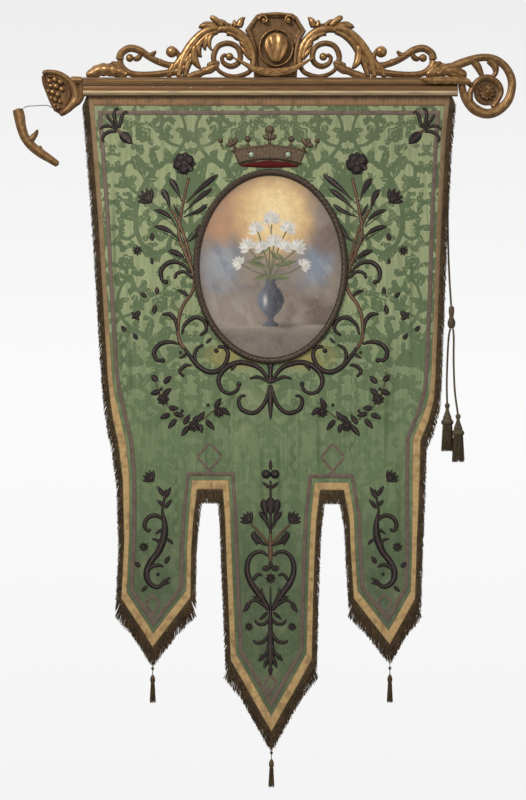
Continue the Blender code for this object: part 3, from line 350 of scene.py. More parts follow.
# Flowers: x, z, radius, kind
SIDE_FLOWERS = (
    (-277, -243, 37, "rose"), (-390, -357, 27, "bell"), (-426, -522, 15, "star"),
    (-344, -997, 20, "bloom"), (-245, -1083, 20, "bloom"), (-165, -1038, 19, "bloom"),
    (-382, -1251, 21, "bell"), (-406, -1470, 15, "star"),
    (-69, -1384, 22, "bell"), (-69, -1725, 13, "star"),
)
MIDDLE_FLOWERS = (
    (0, -1570, 16, "star"),
)
# Padded knots: x, z, radius
SIDE_KNOTS = (
    (-335, -622, 8), (-344, -873, 8), (-174, -842, 8), (-101, -949, 8), (-288, -848, 5.1),
    (-350, -965, 5.8), (-283, -1035, 5.8), (-200, -1016, 5.8),
    (-14, -1237, 14.7), (-16, -1536, 7.4),
    (-360, -1557, 5.8),
)
# Rings of petals of each kind of flower: petals, reach, width and start as shares of the radius, lift
PETAL_RINGS = {
    "rose": ((9, 1.0, 0.30, 0.40, 0.0), (7, 0.68, 0.26, 0.25, 1.2), (5, 0.40, 0.2, 0.1, 2.4)),
    "bell": ((5, 1.35, 0.28, -0.5, 0.0), (3, 0.8, 0.26, -0.6, 1.0)),
    "star": ((8, 1.1, 0.24, 0.2, 0.0),),
    "bloom": ((8, 1.0, 0.30, 0.22, 0.0), (5, 0.55, 0.26, 0.1, 1.2)),
}
ROSE_KNOBS = (0.5, 2.2, 3.4, 4.7)         # angles round the middle
STITCH_HEIGHT = 3.4
STEM_HEIGHT = 2.2
BELL_TILT = 0.75             # radians away from the middle of the cloth
LEAF_HEIGHT = 3.6
LONG_LEAF, SPOON = 55, 2.0   # leaves over this length widen towards the tip
LEAF_STALK = 2.0             # least half width at a leaf's base
STITCH_STEP = 4.0
GROOVE_WIDTH = 0.22          # of a leaf's vein, as a share of the half width
SUNK = 0.2                   # how deep the rim of a raised piece goes into its ground
STITCH_FULLNESS, STEM_FULLNESS = 1.22, 1.45
# Flat braid lozenges: x, z, half width, half height; a tail's is smaller
LOZENGES = (
    (-195, -1180, 40, 44), (199, -1182, 38, 44), (-377, -1652, 23, 30), (366, -1650, 23, 30),
    (0, -1906, 20, 28),
)
LOZENGE_BAND = 4.6

# Applied crown
CROWN_THICK = 7
CROWN_BACK = CLOTH_Y + 0.3
CROWN_FACE = CLOTH_Y - 2 - (CROWN_THICK - 3)
CROWN_TOP = (
    (-123, -199), (-98, -192), (-73, -188), (-38, -186), (-3, -180), (32, -186), (66, -188), (114, -201),
)
CROWN_FOOT = (
    (-101, -247), (-82, -241), (-62, -237), (-32, -233), (-3, -232), (30, -234), (60, -238), (94, -248),
)
CROWN_BALLS = (              # x, z, radius
    (-73, -165, 10), (66, -165, 10), (-3, -136, 15), (-160, -170, 8), (150, -171, 8),
)
CROWN_FLEURONS = (           # x, z of the middle, reach, lean in degrees
    (-3, -163, 25, 0), (-120, -181, 24, 32), (113, -182, 24, -32),
)
CROWN_STONES = ((-61, -216, 9), (56, -216, 9))
VELVET = ((-99, -248), (-60, -239), (-3, -233), (58, -239), (92, -249), (86, -255), (-3, -258), (-92, -254))

# Fringe. Columns: name, piece of edge, pitch, length, lean of its threads away from the cloth
FRINGES = (
    ("fringe_left", LEFT_SIDE, 0.95, 46, 0.46), ("fringe_left_hem", LEFT_HEM, 0.55, 60, 0.05),
    ("fringe_left_slot_outer", LEFT_SLOT_OUTER, 0.9, 38, 0.52),
    ("fringe_left_slot_head", LEFT_SLOT_HEAD, 0.4, 44, 0.0),
    ("fringe_left_slot_inner", LEFT_SLOT_INNER, 0.9, 38, 0.52),
    ("fringe_middle_hem", MIDDLE_HEM, 0.55, 60, 0.05),
    ("fringe_right_slot_inner", RIGHT_SLOT_INNER, 0.9, 38, 0.52),
    ("fringe_right_slot_head", RIGHT_SLOT_HEAD, 0.4, 44, 0.0),
    ("fringe_right_slot_outer", RIGHT_SLOT_OUTER, 0.9, 38, 0.52),
    ("fringe_right_hem", RIGHT_HEM, 0.55, 60, 0.05),
    ("fringe_right", RIGHT_SIDE, 0.95, 46, 0.46),
)
FRINGE_THICK = 1.5
FRINGE_SETBACK = 1.5
FRINGE_CORD = 1.3            # radius
BACKING_SHARE, BACKING_THICK = 0.66, 0.9
CORNER_LEAN, CORNER_REACH = 0.55, 70      # of a hem's threads towards its ends

# Carved cresting. Each stroke is a row of stations: x, z, half width.
CREST_Y = -38
CREST_HALF_DEPTH = 14
CREST_MIDDLE = 19
SEAT = 30.3
CREST_STROKES = {
    "ring scroll": (
        (-56, 66, 6), (-75, 45, 6), (-120, 34, 6), (-165, 53, 5), (-182, 94, 7), (-168, 130, 7),
        (-136, 141, 7), (-106, 128, 7), (-96, 98, 7), (-104, 77, 7), (-126, 67, 7), (-149, 77, 6),
        (-155, 96, 5), (-140, 106, 5),
    ),
    "running scroll": (
        (-258, 101, 13), (-277, 78, 10), (-315, 70, 8), (-354, 80, 8), (-386, 96, 8), (-416, 117, 9),
        (-450, 125, 9), (-477, 109, 9), (-483, 85, 10),
    ),
    "ball stem": ((-290, 75, 8), (-294, 104, 6), (-309, 125, 5)),
    "fish tail": ((-405, 107, 8), (-384, 101, 8), (-365, 117, 2.6)),
    "hook end": ((-414, 107, 6), (-424, 93, 7), (-440, 90, 5)),
    "lower stem": (
        (-270, 66, 13), (-302, 51, 10), (-357, 43, 8), (-413, 40, 8), (-451, 46, 8), (-477, 66, 9),
        (-485, 88, 10),
    ),
    "cuff stem": ((-165, 72, 6), (-194, 58, 11), (-213, 50, 8), (-238, 40, 10), (-270, 30, 8)),
    "outer leaf": ((-456, 40, 11), (-498, 54, 15), (-542, 56, 15), (-571, 44, 12), (-590, 36, 6)),
    "outer lobe": ((-459, 36, 8), (-478, 56, 11), (-497, 73, 8), (-511, 80, 3)),
    "outer high lobe": ((-493, 40, 9), (-514, 57, 11), (-532, 68, 7), (-545, 73, 2.6)),
}
# Lobes of the big acanthus leaves, left half
ACANTHUS = {
    "turned edge": ((-176, 180, 8), (-154, 187, 12), (-130, 184, 9)),
    "outer rib": (
        (-296, 30, 7.69), (-287, 69, 11.8), (-272, 107, 14.2), (-248, 143, 14.2), (-219, 172, 13),
        (-189, 186, 11.2), (-163, 189, 8.88),
    ),
    "inner rib": (
        (-275, 30, 6.51), (-266, 69, 11.8), (-248, 110, 13.6), (-223, 146, 12.4), (-195, 169, 10.7),
        (-166, 180, 8.29),
    ),
    "stem rib": (
        (-331, 32, 7.1), (-313, 57, 10.7), (-290, 86, 11.8), (-266, 122, 11.2), (-237, 157, 10.1),
        (-207, 180, 7.69),
    ),
    "hanging lobe": (
        (-242, 137, 8.88), (-245, 110, 13), (-242, 86, 13), (-232, 69, 8.88), (-222, 58, 2.96),
    ),
    "second lobe": ((-222, 149, 8.88), (-231, 125, 11.2), (-228, 106, 8.29), (-219, 96, 2.66)),
    "third lobe": ((-198, 166, 8.88), (-206, 149, 10.7), (-211, 131, 7.69), (-208, 116, 2.66)),
    "fourth lobe": ((-183, 172, 7.1), (-195, 155, 8.29), (-196, 134, 7.1), (-186, 115, 2.37)),
    "foot lobe": ((-266, 110, 10.1), (-272, 86, 11.2), (-270, 72, 7.69), (-256, 66, 2.66)),
    "low lobe": ((-281, 86, 10.1), (-291, 57, 9.47), (-288, 36, 7.1), (-272, 27, 2.96)),
    "back lobe": ((-308, 75, 10.1), (-321, 51, 9.47), (-319, 32, 6.51)),
    "left tip": ((-163, 191, 8.88), (-189, 195, 11.8), (-213, 197, 11.2), (-231, 191, 2.96)),
    "upper left tip": ((-171, 198, 7.1), (-198, 205, 6.51), (-217, 207, 2.37)),
    "high tip": ((-151, 194, 8.29), (-170, 211, 10.1), (-186, 223, 8.88), (-191, 230, 3.55)),
    "high side tip": ((-133, 194, 8.29), (-152, 210, 7.1), (-167, 217, 2.66)),
    "crest tip": ((-103, 190, 10.7), (-97, 206, 12.4), (-89, 218, 7.69), (-80, 224, 2.37)),
    "crest low tip": ((-109, 191, 8.29), (-115, 205, 7.69), (-115, 217, 2.66)),
    "crest foot tip": ((-120, 193, 6.51), (-127, 200, 5.33), (-133, 205, 2.37)),
    "right leaf": (
        (-166, 186, 10.1), (-136, 186, 13), (-109, 178, 13.6), (-86, 160, 14.2), (-68, 137, 13.6),
        (-58, 110, 11.8), (-55, 83, 10.7), (-58, 60, 9.47),
    ),
    "right leaf vein": (
        (-142, 175, 5.92), (-115, 166, 8.29), (-94, 153, 8.88), (-79, 134, 9.47), (-70, 110, 8.88),
        (-65, 86, 8.29),
    ),
    "right lobe": ((-112, 172, 6.51), (-129, 170, 5.92), (-142, 166, 2.37)),
    "right second lobe": ((-89, 153, 7.1), (-106, 156, 6.51), (-121, 162, 2.37)),
    "right third lobe": ((-72, 125, 8.88), (-87, 137, 10.1), (-100, 148, 4.14)),
    "right fourth lobe": ((-68, 95, 8.29), (-84, 116, 7.69), (-96, 132, 2.66)),
}
# Strokes that are leaves, with the number of scallops along each
LEAFY = {"outer leaf": 6}
SCROLL_FULLNESS = 1.32
CREST_BALLS = ((-131, 98, 13), (-316, 114, 19), (-450, 94, 13))
CUFFS = (                    # x, z, reach, turn in degrees
    (-484, 66, 16, 20), (-183, 74, 22, -76), (-214, 52, 15, -30), (-352, 81, 11, 70),
)
RIGHT_END_STROKES = {
    "hook": (
        (542, 50, 10), (568, 61, 10), (613, 78, 12), (670, 95, 10), (715, 91, 10), (750, 67, 10),
        (770, 30, 11),
        (771, -8, 11), (757, -46, 12), (725, -75, 13), (690, -84, 13), (654, -70, 14), (630, -43, 13),
        (616, -16, 11),
    ),
    "spiral": (
        (637, -53, 10), (640, -14, 8), (661, 19, 8), (694, 32, 8), (726, 14, 8), (738, -14, 7),
        (726, -43, 7),
        (708, -66, 10),
    ),
    "first drop": ((642, 88, 8), (661, 69, 10), (674, 43, 7), (680, 30, 6)),
    "second drop": ((696, 90, 10), (717, 69, 10), (720, 46, 7), (706, 30, 6)),
    "stem": ((570, 44, 9), (610, 30, 9), (638, 10, 7), (648, -2, 5)),
    "corner": ((612, 24, 9), (613, 0, 10), (618, -24, 10)),
}
RIGHT_END_FULLNESS = 1.22
RIGHT_ROSETTE = (692, -16, 28)
ROSETTE_DISC = 41
BAR_LEAF = ((474, 25, 4), (508, 20, 10), (556, 20, 12), (600, 19, 11), (640, 14, 8))
LEFT_END_STROKES = {
    "stub": ((-598, 22, 12), (-622, 22, 13), (-642, 24, 11)),
    "rim": (
        (-731, 46, 7), (-708, 48, 9), (-676, 42, 10), (-648, 24, 11), (-628, -2, 13), (-622, -34, 14),
        (-640, -62, 12), (-664, -82, 9), (-676, -86, 6),
    ),
    "inner rim": (
        (-716, 34, 5), (-694, 34, 6), (-668, 25, 7), (-650, 4, 7), (-645, -24, 8), (-654, -52, 8),
        (-667, -74, 6),
    ),
    "side": ((-608, 14, 9), (-603, -10, 10), (-606, -34, 9), (-620, -56, 7)),
    "front": ((-727, 40, 6), (-724, 14, 6), (-713, -16, 6), (-700, -48, 6), (-684, -78, 6)),
}
LEFT_END_BODY = (
    (-727, 50), (-700, 54), (-668, 46), (-640, 28), (-606, 30), (-600, 0), (-602, -30), (-616, -56),
    (-640, -74), (-668, -88), (-686, -78), (-706, -42), (-724, 0),
)
LEFT_BEADS = (
    (-708, 20, 8), (-690, 24, 9), (-672, 16, 10), (-703, 4, 8), (-686, 2, 10), (-668, -6, 9),
    (-711, -12, 7),
    (-697, -16, 9), (-680, -24, 9), (-702, -34, 7), (-688, -40, 8), (-673, -46, 7), (-690, -57, 6),
    (-679, -66, 6),
)
BEAD_Y = -42
FRAGMENT_STROKES = {
    "arc": (
        (-809, -67, 17), (-803, -94, 18), (-797, -126, 16), (-786, -158, 15), (-765, -186, 15),
        (-738, -208, 15), (-709, -227, 13), (-678, -248, 10),
    ),
    "tip": ((-770, -172, 13), (-752, -150, 8), (-744, -134, 3)),
    "second tip": ((-738, -206, 11), (-734, -197, 6), (-738, -185, 3)),
}
CARTOUCHE = (
    (-53, SEAT), (-56, 75), (-59, 120), (-69, 158), (-82, 186), (-62, 214), (-46, 235), (-29, 242),
    (21, 238),
    (68, 241), (87, 229), (101, 205), (115, 184), (101, 158), (91, 120), (88, 75), (85, SEAT),
)
CARTOUCHE_FRONT, CARTOUCHE_BACK = -47, -29
BOSS_X, BOSS_FOOT, BOSS_HEIGHT = 18, 78, 96
BOSS_FLUTES = 9
GARLAND = (                  # x, z, half width
    (-120, 93, 4), (-104, 85, 5), (-78, 70, 8), (-53, 56, 11), (-21, 48, 14), (10, 45, 15), (40, 48, 14),
    (72, 56, 11), (98, 70, 8), (123, 85, 5), (141, 93, 4),
)
GARLAND_Y = -59.5
GARLAND_SEED = 5
WIRE_RADIUS = 1.2
WIRE = (
    (-790, -38, -66), (-776, -44, -61), (-750, -46, -60), (-722, -46, -58), (-708, -45, -60),
    (-698, -44, -66),
)

# Corded tie on the right, on the same route as the model's solids
CORD_Y = -14
CORD_RADIUS = 3.5
CORDS = (                    # name, then x, y, z of each point
    ("tie_cord", (
        (567, CORD_Y, -10.4), (567, CORD_Y, -60), (568, CORD_Y, -260), (570, CORD_Y, -480),
        (574, CORD_Y, -600),
        (580, CORD_Y, -697),
    )),
    ("tie_strand_left", (
        (577, CORD_Y, -771.6), (572, CORD_Y, -800), (568, CORD_Y, -870), (566, CORD_Y, -950),
        (567, CORD_Y - 2, -1009.6),
        (567, CORD_Y - 6, -1030), (567, CORD_Y - 7, -1048),
    )),
    ("tie_strand_right", (
        (586, CORD_Y - 1, -771.6), (588, -18, -800), (587, -26, -880), (590, -34, -970),
        (599, -40, -1043.6),
        (600, -40, -1064), (600, -40, -1082),
    )),
)
CORD_TWIST = 22              # length of one turn
KNOT_X = 581
KNOT_PROFILE = ((4, -697.6), (8, -702), (9, -716), (6.5, -734), (12, -748), (12, -760), (8, -768), (5, -771))
TIE_TASSELS = (("tie_tassel_left", 567, CORD_Y - 7, -1010), ("tie_tassel_right", 600, -40, -1044))
TIE_HEAD = (                 # radius, drop
    (3.5, 0), (7, -3), (8.5, -8), (7, -13), (5, -18), (6.5, -26), (10, -36), (14, -47), (13, -51),
    (17, -54),
    (19.5, -60), (19, -66), (15, -70),
)
TIE_SKIRT = (15, 150, 1.3, 330)      # ring radius, drop of the foot, thread thickness, threads
HEM_TASSELS = (              # name, x, z of the thread's top, length of the thread
    ("tassel_left", -377, -1802, 52), ("tassel_middle", 3, -2074, 50), ("tassel_right", 382, -1795, 58),
)
HEM_HEAD = (
    (1.2, 0), (3.8, -1.5), (5.2, -5), (3.8, -8.5), (1.4, -11), (1.4, -24), (4, -27), (7, -33), (8.4, -41),
    (7.4, -48), (5.5, -53), (6.8, -56), (6.2, -59),
)
HEM_SKIRT = (6.4, 112, 1.1, 150)


def smooth(t):
    t = np.clip(t, 0.0, 1.0)
    return t * t * (3 - 2 * t)


def side_x(rows, z):
    """x of a side edge at heights, from its table."""
    rows = sorted(rows, key=lambda row: row[1])
    return np.interp(z, [row[1] for row in rows], [row[0] for row in rows])


def oval_reach(x, z):
    """Distance from the oval's middle in oval radii."""
    return np.hypot((x - OVAL_X) / OVAL_HALF_WIDTH, (z - OVAL_Z) / OVAL_HALF_HEIGHT)


def cloth_depth(x, z):
    """y of the cloth's middle: flat behind the oval, soft folds elsewhere, side edges turned back."""
    x, z = np.asarray(x, float), np.asarray(z, float)
    rise = np.zeros(np.broadcast(x, z).shape)
    for x_top, z_top, x_foot, z_foot, half_width, height, through_hem in FOLDS:
        along = (z_top - z) / (z_top - z_foot)
        across = np.abs(x - x_top - (x_foot - x_top) * along) / half_width
        fade = smooth(along / FOLD_RISE) * (1 if through_hem else smooth((1 - along) / FOLD_FALL))
        bell = np.cos(np.minimum(across, 1) * math.pi / 2) ** 2
        rise += np.where((along > 0) & (along < 1), height * fade * bell, 0)
    rise *= smooth((oval_reach(x, z) - FLAT_ZONE) / FLAT_FADE)
    inset = np.maximum(np.minimum(x - side_x(LEFT_SIDE, z), side_x(RIGHT_SIDE, z) - x), 0)
    curl = EDGE_CURL * smooth((CURL_TOP - z) / CURL_TOP_FADE) * smooth((z - CURL_FOOT) / CURL_FOOT_FADE)
    return CLOTH_Y - rise + curl * np.maximum(1 - inset / CURL_WIDTH, 0) ** 2


def face_of_cloth(x, z):
    """y of the cloth's face, where everything sewn on it starts."""
    return cloth_depth(x, z) - CLOTH_THICK / 2 - 0.05


def stepped(rows, step):
    """Rows with more between them, so that no stretch is longer than the step."""
    out = []
    for a, b in zip(rows, rows[1:]):
        count = max(1, math.ceil(math.hypot(b[0] - a[0], b[1] - a[1]) / step))
        out += [tuple(p + (q - p) * i / count for p, q in zip(a, b)) for i in range(count)]
    return out + [tuple(rows[-1])]


def offset(points, shifts):
    """A closed loop moved to the left of its way by a shift for each stretch, with mitred corners."""
    count = len(points)
    normals = []
    for i in range(count):
        way = Vector(points[(i + 1) % count]) - Vector(points[i])
        normals.append(Vector((-way.y, way.x)).normalized())
    moved = []
    for i, point in enumerate(points):
        n1, n2 = normals[i - 1], normals[i]
        d1, d2 = shifts[i - 1], shifts[i]
        turn = n1.x * n2.y - n1.y * n2.x
        if abs(turn) < NEARLY_STRAIGHT:
            shift = (n1 + n2).normalized() * (d1 + d2) / 2
        else:
            shift = Vector((d1 * n2.y - d2 * n1.y, d2 * n1.x - d1 * n2.x)) / turn
        moved.append((point[0] + shift.x, point[1] + shift.y))
    return moved


def inside(loop, x, z):
    """Which places lie in a closed loop of points."""
    hit = np.zeros(np.shape(x), bool)
    for (x1, z1), (x2, z2) in zip(loop, loop[1:] + loop[:1]):
        if z1 != z2:
            hit ^= ((z1 > z) != (z2 > z)) & (x < x1 + (x2 - x1) * (z - z1) / (z2 - z1))
    return hit


def smooth_curve(rows, parts):
    """Rows of numbers on a smooth curve through the given ones, with so many parts between two."""
    route = np.array(rows, float)
    ends = np.vstack([2 * route[0] - route[1], route, 2 * route[-1] - route[-2]])
    fine = []
    for p0, p1, p2, p3 in zip(ends, ends[1:], ends[2:], ends[3:]):
        for t in np.arange(parts) / parts:
            fine.append(0.5 * (
                2 * p1 + (p2 - p0) * t + (2 * p0 - 5 * p1 + 4 * p2 - p3) * t * t
                + (3 * p1 - p0 - 3 * p2 + p3) * t ** 3
            ))
    return np.array([*fine, route[-1]])


def walked(route):
    """How far each station lies along a route in the plane of the front."""
    return np.concatenate([[0], np.cumsum(np.hypot(*np.diff(route[:, :2], axis=0).T))])


def walked_in_space(path):
    """How far each point lies along a path in space."""
    return np.concatenate([[0], np.cumsum(np.linalg.norm(np.diff(path, axis=0), axis=1))])


def at_even_steps(fine, gone, step, least):
    """Rows at even steps of the way gone, and at least so many."""
    places = np.linspace(0, gone[-1], max(least, round(gone[-1] / step) + 1))
    return np.column_stack([np.interp(places, gone, column) for column in fine.T])


def spline(rows, step):
    """Rows of numbers at even steps along a smooth curve through them; the place is x and z."""
    fine = smooth_curve(rows, 12)
    return at_even_steps(fine, walked(fine), step, 3)


def spline_in_space(points, step):
    """Points at even steps along a smooth curve in space."""
    fine = smooth_curve(points, 24)
    return at_even_steps(fine, walked_in_space(fine), step, 4)


def turns(count, more=0):
    """Even angles once round, with more of them past the start if asked."""
    return np.arange(count + more) / count * 2 * math.pi


def uv_grid(along, across):
    """UVs of a grid: along for each row and across for each column."""
    return np.stack([
        np.repeat(along[:, None], len(across), 1), np.repeat(across[None], len(along), 0),
    ], 2)


def level(y):
    """A flat ground at one depth."""
    def ground(x, z):
        return y + 0 * x

    return ground


def beside(x, z, x1, z1, x2, z2):
    """Share of the way along a stretch, held to its ends, and how far places lie from it."""
    ax, az = x2 - x1, z2 - z1
    t = np.clip(((x - x1) * ax + (z - z1) * az) / max(ax * ax + az * az, 1e-9), 0, 1)
    return t, np.hypot(x - x1 - t * ax, z - z1 - t * az)


def flat_leaf(x, z, long_x, long_z, half):
    """Places from a flat leaf's base: share along it, offset from its rib, half width, length."""
    long = math.hypot(long_x, long_z)
    t = (x * long_x + z * long_z) / long ** 2
    side = (x * long_z - z * long_x) / long
    return t, side, half * np.sin(math.pi * np.clip(t, 0, 1) ** 0.8), long


class Shape:
    """Points, faces and face-corner UVs gathered for one piece, in millimetres."""

    def __init__(self):
        self.points = []
        self.faces = []
        self.uvs = []

    def grid(self, points, uvs, closed=False):
        """A sheet of four-sided faces over rows of points; closed joins the last column to the first."""
        points, uvs = np.asarray(points, float), np.asarray(uvs, float)
        rows, columns = points.shape[:2]
        first = len(self.points)
        self.points += [tuple(point) for point in points.reshape(-1, 3)]
        for i in range(rows - 1):
            for j in range(columns if closed else columns - 1):
                k = (j + 1) % columns
                self.faces.append([
                    first + i * columns + j, first + (i + 1) * columns + j,
                    first + (i + 1) * columns + k, first + i * columns + k,
                ])
                right = uvs[:, j] + (uvs[:, 1] - uvs[:, 0]) if closed and k == 0 else uvs[:, k]
                self.uvs += [tuple(uvs[i, j]), tuple(uvs[i + 1, j]), tuple(right[i + 1]), tuple(right[i])]

    def triangles(self, points, triangles, uv):
        """Loose triangles over points, with a UV for each point."""
        first = len(self.points)
        self.points += [tuple(point) for point in points]
        for triangle in triangles:
            self.faces.append([first + int(i) for i in triangle])
            self.uvs += [uv[i] for i in triangle]

    def piece(self, name, material, slot, replaces=(), outwards=True, merge=0.0, sharp=None):
        """The finished object, riding on the one body."""
        mesh = bpy.data.meshes.new(name)
        mesh.from_pydata([(x * MM, y * MM, z * MM) for x, y, z in self.points], [], self.faces)
        layer = mesh.uv_layers.new(name="UVMap")
        layer.data.foreach_set("uv", np.array(self.uvs, np.float32).ravel())
        if merge or outwards:
            bm = bmesh.new()
            bm.from_mesh(mesh)
            if merge:
                bmesh.ops.remove_doubles(bm, verts=bm.verts, dist=merge * MM)
                bmesh.ops.dissolve_degenerate(bm, edges=bm.edges, dist=1e-6)
            if outwards:
                bmesh.ops.recalc_face_normals(bm, faces=bm.faces)
            bm.to_mesh(mesh)
            bm.free()
        return settle(name, mesh, material, replaces, sharp)


def settle(name, mesh, material, replaces=(), sharp=None):
    """Links a mesh as a piece that rides on the body and stands for its CAD nodes."""
    mesh.shade_smooth()
    if sharp:
        mesh.set_sharp_from_angle(angle=math.radians(sharp))
    mesh.materials.clear()
    mesh.materials.append(material)
    piece = bpy.data.objects.new(name, mesh)
    bpy.context.scene.collection.objects.link(piece)
    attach(piece, "root")
    if replaces:
        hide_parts(*replaces)
    return piece


class Tree:
    """A node tree under construction; one method makes every node."""

    def __init__(self, tree):
        self.tree = tree

    def node(self, kind, settings=None, inputs=None):
        made = self.tree.nodes.new(kind)
        for name, value in (settings or {}).items():
            if name == "stops":
                ramp = made.color_ramp
                while len(ramp.elements) < len(value):
                    ramp.elements.new(0.5)
                for element, (place, colour) in zip(ramp.elements, value):
                    element.position = place
                    element.color = (*colour, 1)
            else:
                setattr(made, name, value)
        for name, value in (inputs or {}).items():
            socket = made.inputs[name]
            if isinstance(value, Value):
                self.tree.links.new(value.socket, socket)
            elif socket.type == "RGBA":
                socket.default_value = (*value, 1)
            else:
                socket.default_value = value
        return made

    def value(self, kind, settings=None, inputs=None, output=0):
        return Value(self, self.node(kind, settings, inputs).outputs[output])

    def math(self, operation, a, b=None):
        inputs = {0: a} if b is None else {0: a, 1: b}
        kind = "ShaderNodeMath"
        return self.value(kind, {"operation": operation}, inputs)

    def vector(self, operation, a, b=None, scale=None):
        inputs = {0: a}
        if b is not None:
            inputs[1] = b
        if scale is not None:
            inputs["Scale"] = scale
        return self.value("ShaderNodeVectorMath", {"operation": operation}, inputs)


class Value:
    """An output socket; arithmetic on it adds Math nodes."""

    def __init__(self, tree, socket):
        self.tree = tree
        self.socket = socket

    def __add__(self, other):
        return self.tree.math("ADD", self, other)

    def __sub__(self, other):
        return self.tree.math("SUBTRACT", self, other)

    def __rsub__(self, other):
        return self.tree.math("SUBTRACT", other, self)

    def __mul__(self, other):
        return self.tree.math("MULTIPLY", self, other)

    def __truediv__(self, other):
        return self.tree.math("DIVIDE", self, other)

    def __pow__(self, other):
        return self.tree.math("POWER", self, other)

    def __abs__(self):
        return self.tree.math("ABSOLUTE", self)

    __radd__ = __add__
    __rmul__ = __mul__

    def wave(self, length):
        """0 to 1 and back over a length."""
        return self.tree.math("SINE", self * (2 * math.pi / length)) * 0.5 + 0.5

    def rise(self, low, high):
        """0 below low, 1 above high, smooth between."""
        return self.tree.value("ShaderNodeMapRange", {"interpolation_type": "SMOOTHSTEP"}, {
            "Value": self, "From Min": low, "From Max": high,
        })


class Finish(Tree):
    """A material: its Principled shader and what feeds it."""

    def __init__(self, name, roughness=0.5, metallic=0.0, **fixed):
        self.material = bpy.data.materials.new(name)
        self.material.use_nodes = True
        super().__init__(self.material.node_tree)
        self.shader = self.tree.nodes["Principled BSDF"]
        for key, value in {"Roughness": roughness, "Metallic": metallic, **fixed}.items():
            self.shader.inputs[key].default_value = value

    def place(self):
        """Object coordinates in millimetres, as x, y and z."""
        coords = self.value("ShaderNodeTexCoord", output=3)
        parts = self.node("ShaderNodeSeparateXYZ", None, {0: self.vector("SCALE", coords, scale=1000.0)})
        return [Value(self, parts.outputs[i]) for i in range(3)]

    def along_across(self):
        """The piece's own UV: along in millimetres and across from 0 to 1."""
        coords = self.value("ShaderNodeTexCoord", output=2)
        parts = self.node("ShaderNodeSeparateXYZ", None, {0: coords})
        return Value(self, parts.outputs[0]), Value(self, parts.outputs[1])

    def noise(self, size, detail=3.0, stretch=(1, 1, 1), roughness=0.5):
        """Noise whose lumps are about a size in millimetres, stretched along the axes."""
        coords = self.value("ShaderNodeTexCoord", output=3)
        scaled = self.vector("MULTIPLY", coords, tuple(1000 / size / s for s in stretch))
        return self.value("ShaderNodeTexNoise", None, {
            "Vector": scaled, "Scale": 1.0, "Detail": detail, "Roughness": roughness,
        })

    def mix(self, factor, a, b, blend="MIX"):
        settings = {"data_type": "RGBA", "blend_type": blend}
        return self.value("ShaderNodeMix", settings, {0: factor, 6: a, 7: b}, output=2)

    def attribute(self, name, output=2):
        return self.value("ShaderNodeAttribute", {"attribute_name": name}, output=output)

    def bump(self, height, depth, strength=1.0):
        """Relief whose height runs from 0 to 1, its depth in millimetres."""
        normal = self.value("ShaderNodeBump", None, {
            "Height": height, "Distance": depth * MM, "Strength": strength,
        })
        self.feed("Normal", normal)

    def feed(self, name, value):
        self.tree.links.new(value.socket, self.shader.inputs[name])


def damask_silk():
    """Faded green silk damask: pale ground, darker figure, more colour left lower down."""
    silk = Finish("green silk damask", 0.58, **{"Specular IOR Level": 0.22})
    x, _, z = silk.place()
    figure = 1 - silk.attribute("figure").rise(-1.3, 1.1)
    threads = silk.noise(1.1, 2, (1, 1, 26))
    streaks = silk.noise(9, 3, (1, 1, 14))
    cloudy = silk.noise(120, 4)
    low = 1 - z.rise(-1180, -520)
    tail = 1 - z.rise(-1640, -1180)
    ground = silk.mix(low, (0.385, 0.435, 0.225), (0.205, 0.275, 0.135))
    ground = silk.mix(tail, ground, (0.125, 0.165, 0.085))
    pattern = silk.mix(low, (0.105, 0.155, 0.070), (0.155, 0.222, 0.102))
    pattern = silk.mix(tail, pattern, (0.098, 0.135, 0.066))
    colour = silk.mix(figure * 0.95, ground, pattern)
    rim = 1 - abs(silk.attribute("figure") - 1.6).rise(0.2, 1.8)
    colour = silk.mix(rim * (1 - low) * 0.6, colour, (0.46, 0.50, 0.28))
    colour = silk.mix((streaks - 0.5) * 0.9 + 0.22, colour, (0.07, 0.09, 0.05))
    colour = silk.mix(cloudy.rise(0.52, 0.78) * 0.3, colour, (0.36, 0.37, 0.21))
    # painted shade along the narrow creases
    colour = silk.mix(silk.attribute("crease") * 0.55, colour, (0.055, 0.085, 0.035))
    colour = silk.mix(z.rise(-330, -110) * 0.16, colour, (0.10, 0.085, 0.05))
    stain = 1 - silk.math("SQRT", (abs(abs(x) - 115) / 102) ** 2 + ((z + 858) / 50) ** 2).rise(0.45, 1.2)
    colour = silk.mix(stain * silk.noise(40, 3).rise(0.25, 0.55) * 0.85, colour, (0.36, 0.30, 0.10))
    colour = silk.mix(threads * 0.35, colour, (0.05, 0.065, 0.035))
    silk.feed("Base Color", colour)
    silk.feed("Roughness", figure * 0.16 + 0.44)
    silk.bump(threads * 0.6 + streaks * 0.4, 0.35, 0.5)
    return silk.material


def woven(name, low, high, dark, rib, chevron, roughness=0.55, metallic=0.15, faded=None, depth=0.5):
    """Galloon and braid: ribs that slant to a middle line, darker towards the edges."""
    band = Finish(name, roughness, metallic, **{"Specular IOR Level": 0.25})
    along, across = band.along_across()
    middle = abs(across - 0.5)
    ribs = (along + middle * chevron).wave(rib)
    wide = (along - middle * chevron * 1.6).wave(rib * 3.3)
    worn = band.noise(22, 4)
    colour = band.mix(ribs * 0.6 + wide * 0.25, low, high)
    if faded:
        z = band.place()[2]
        colour = band.mix(z.rise(-1120, -560) * 0.85, colour, faded)
    colour = band.mix(worn.rise(0.42, 0.72) * 0.55, colour, dark)
    colour = band.mix(middle.rise(0.36, 0.5) * 0.75, colour, dark)
    band.feed("Base Color", colour)
    band.bump(ribs * 0.7 + wide * 0.3, depth, 0.8)
    return band.material


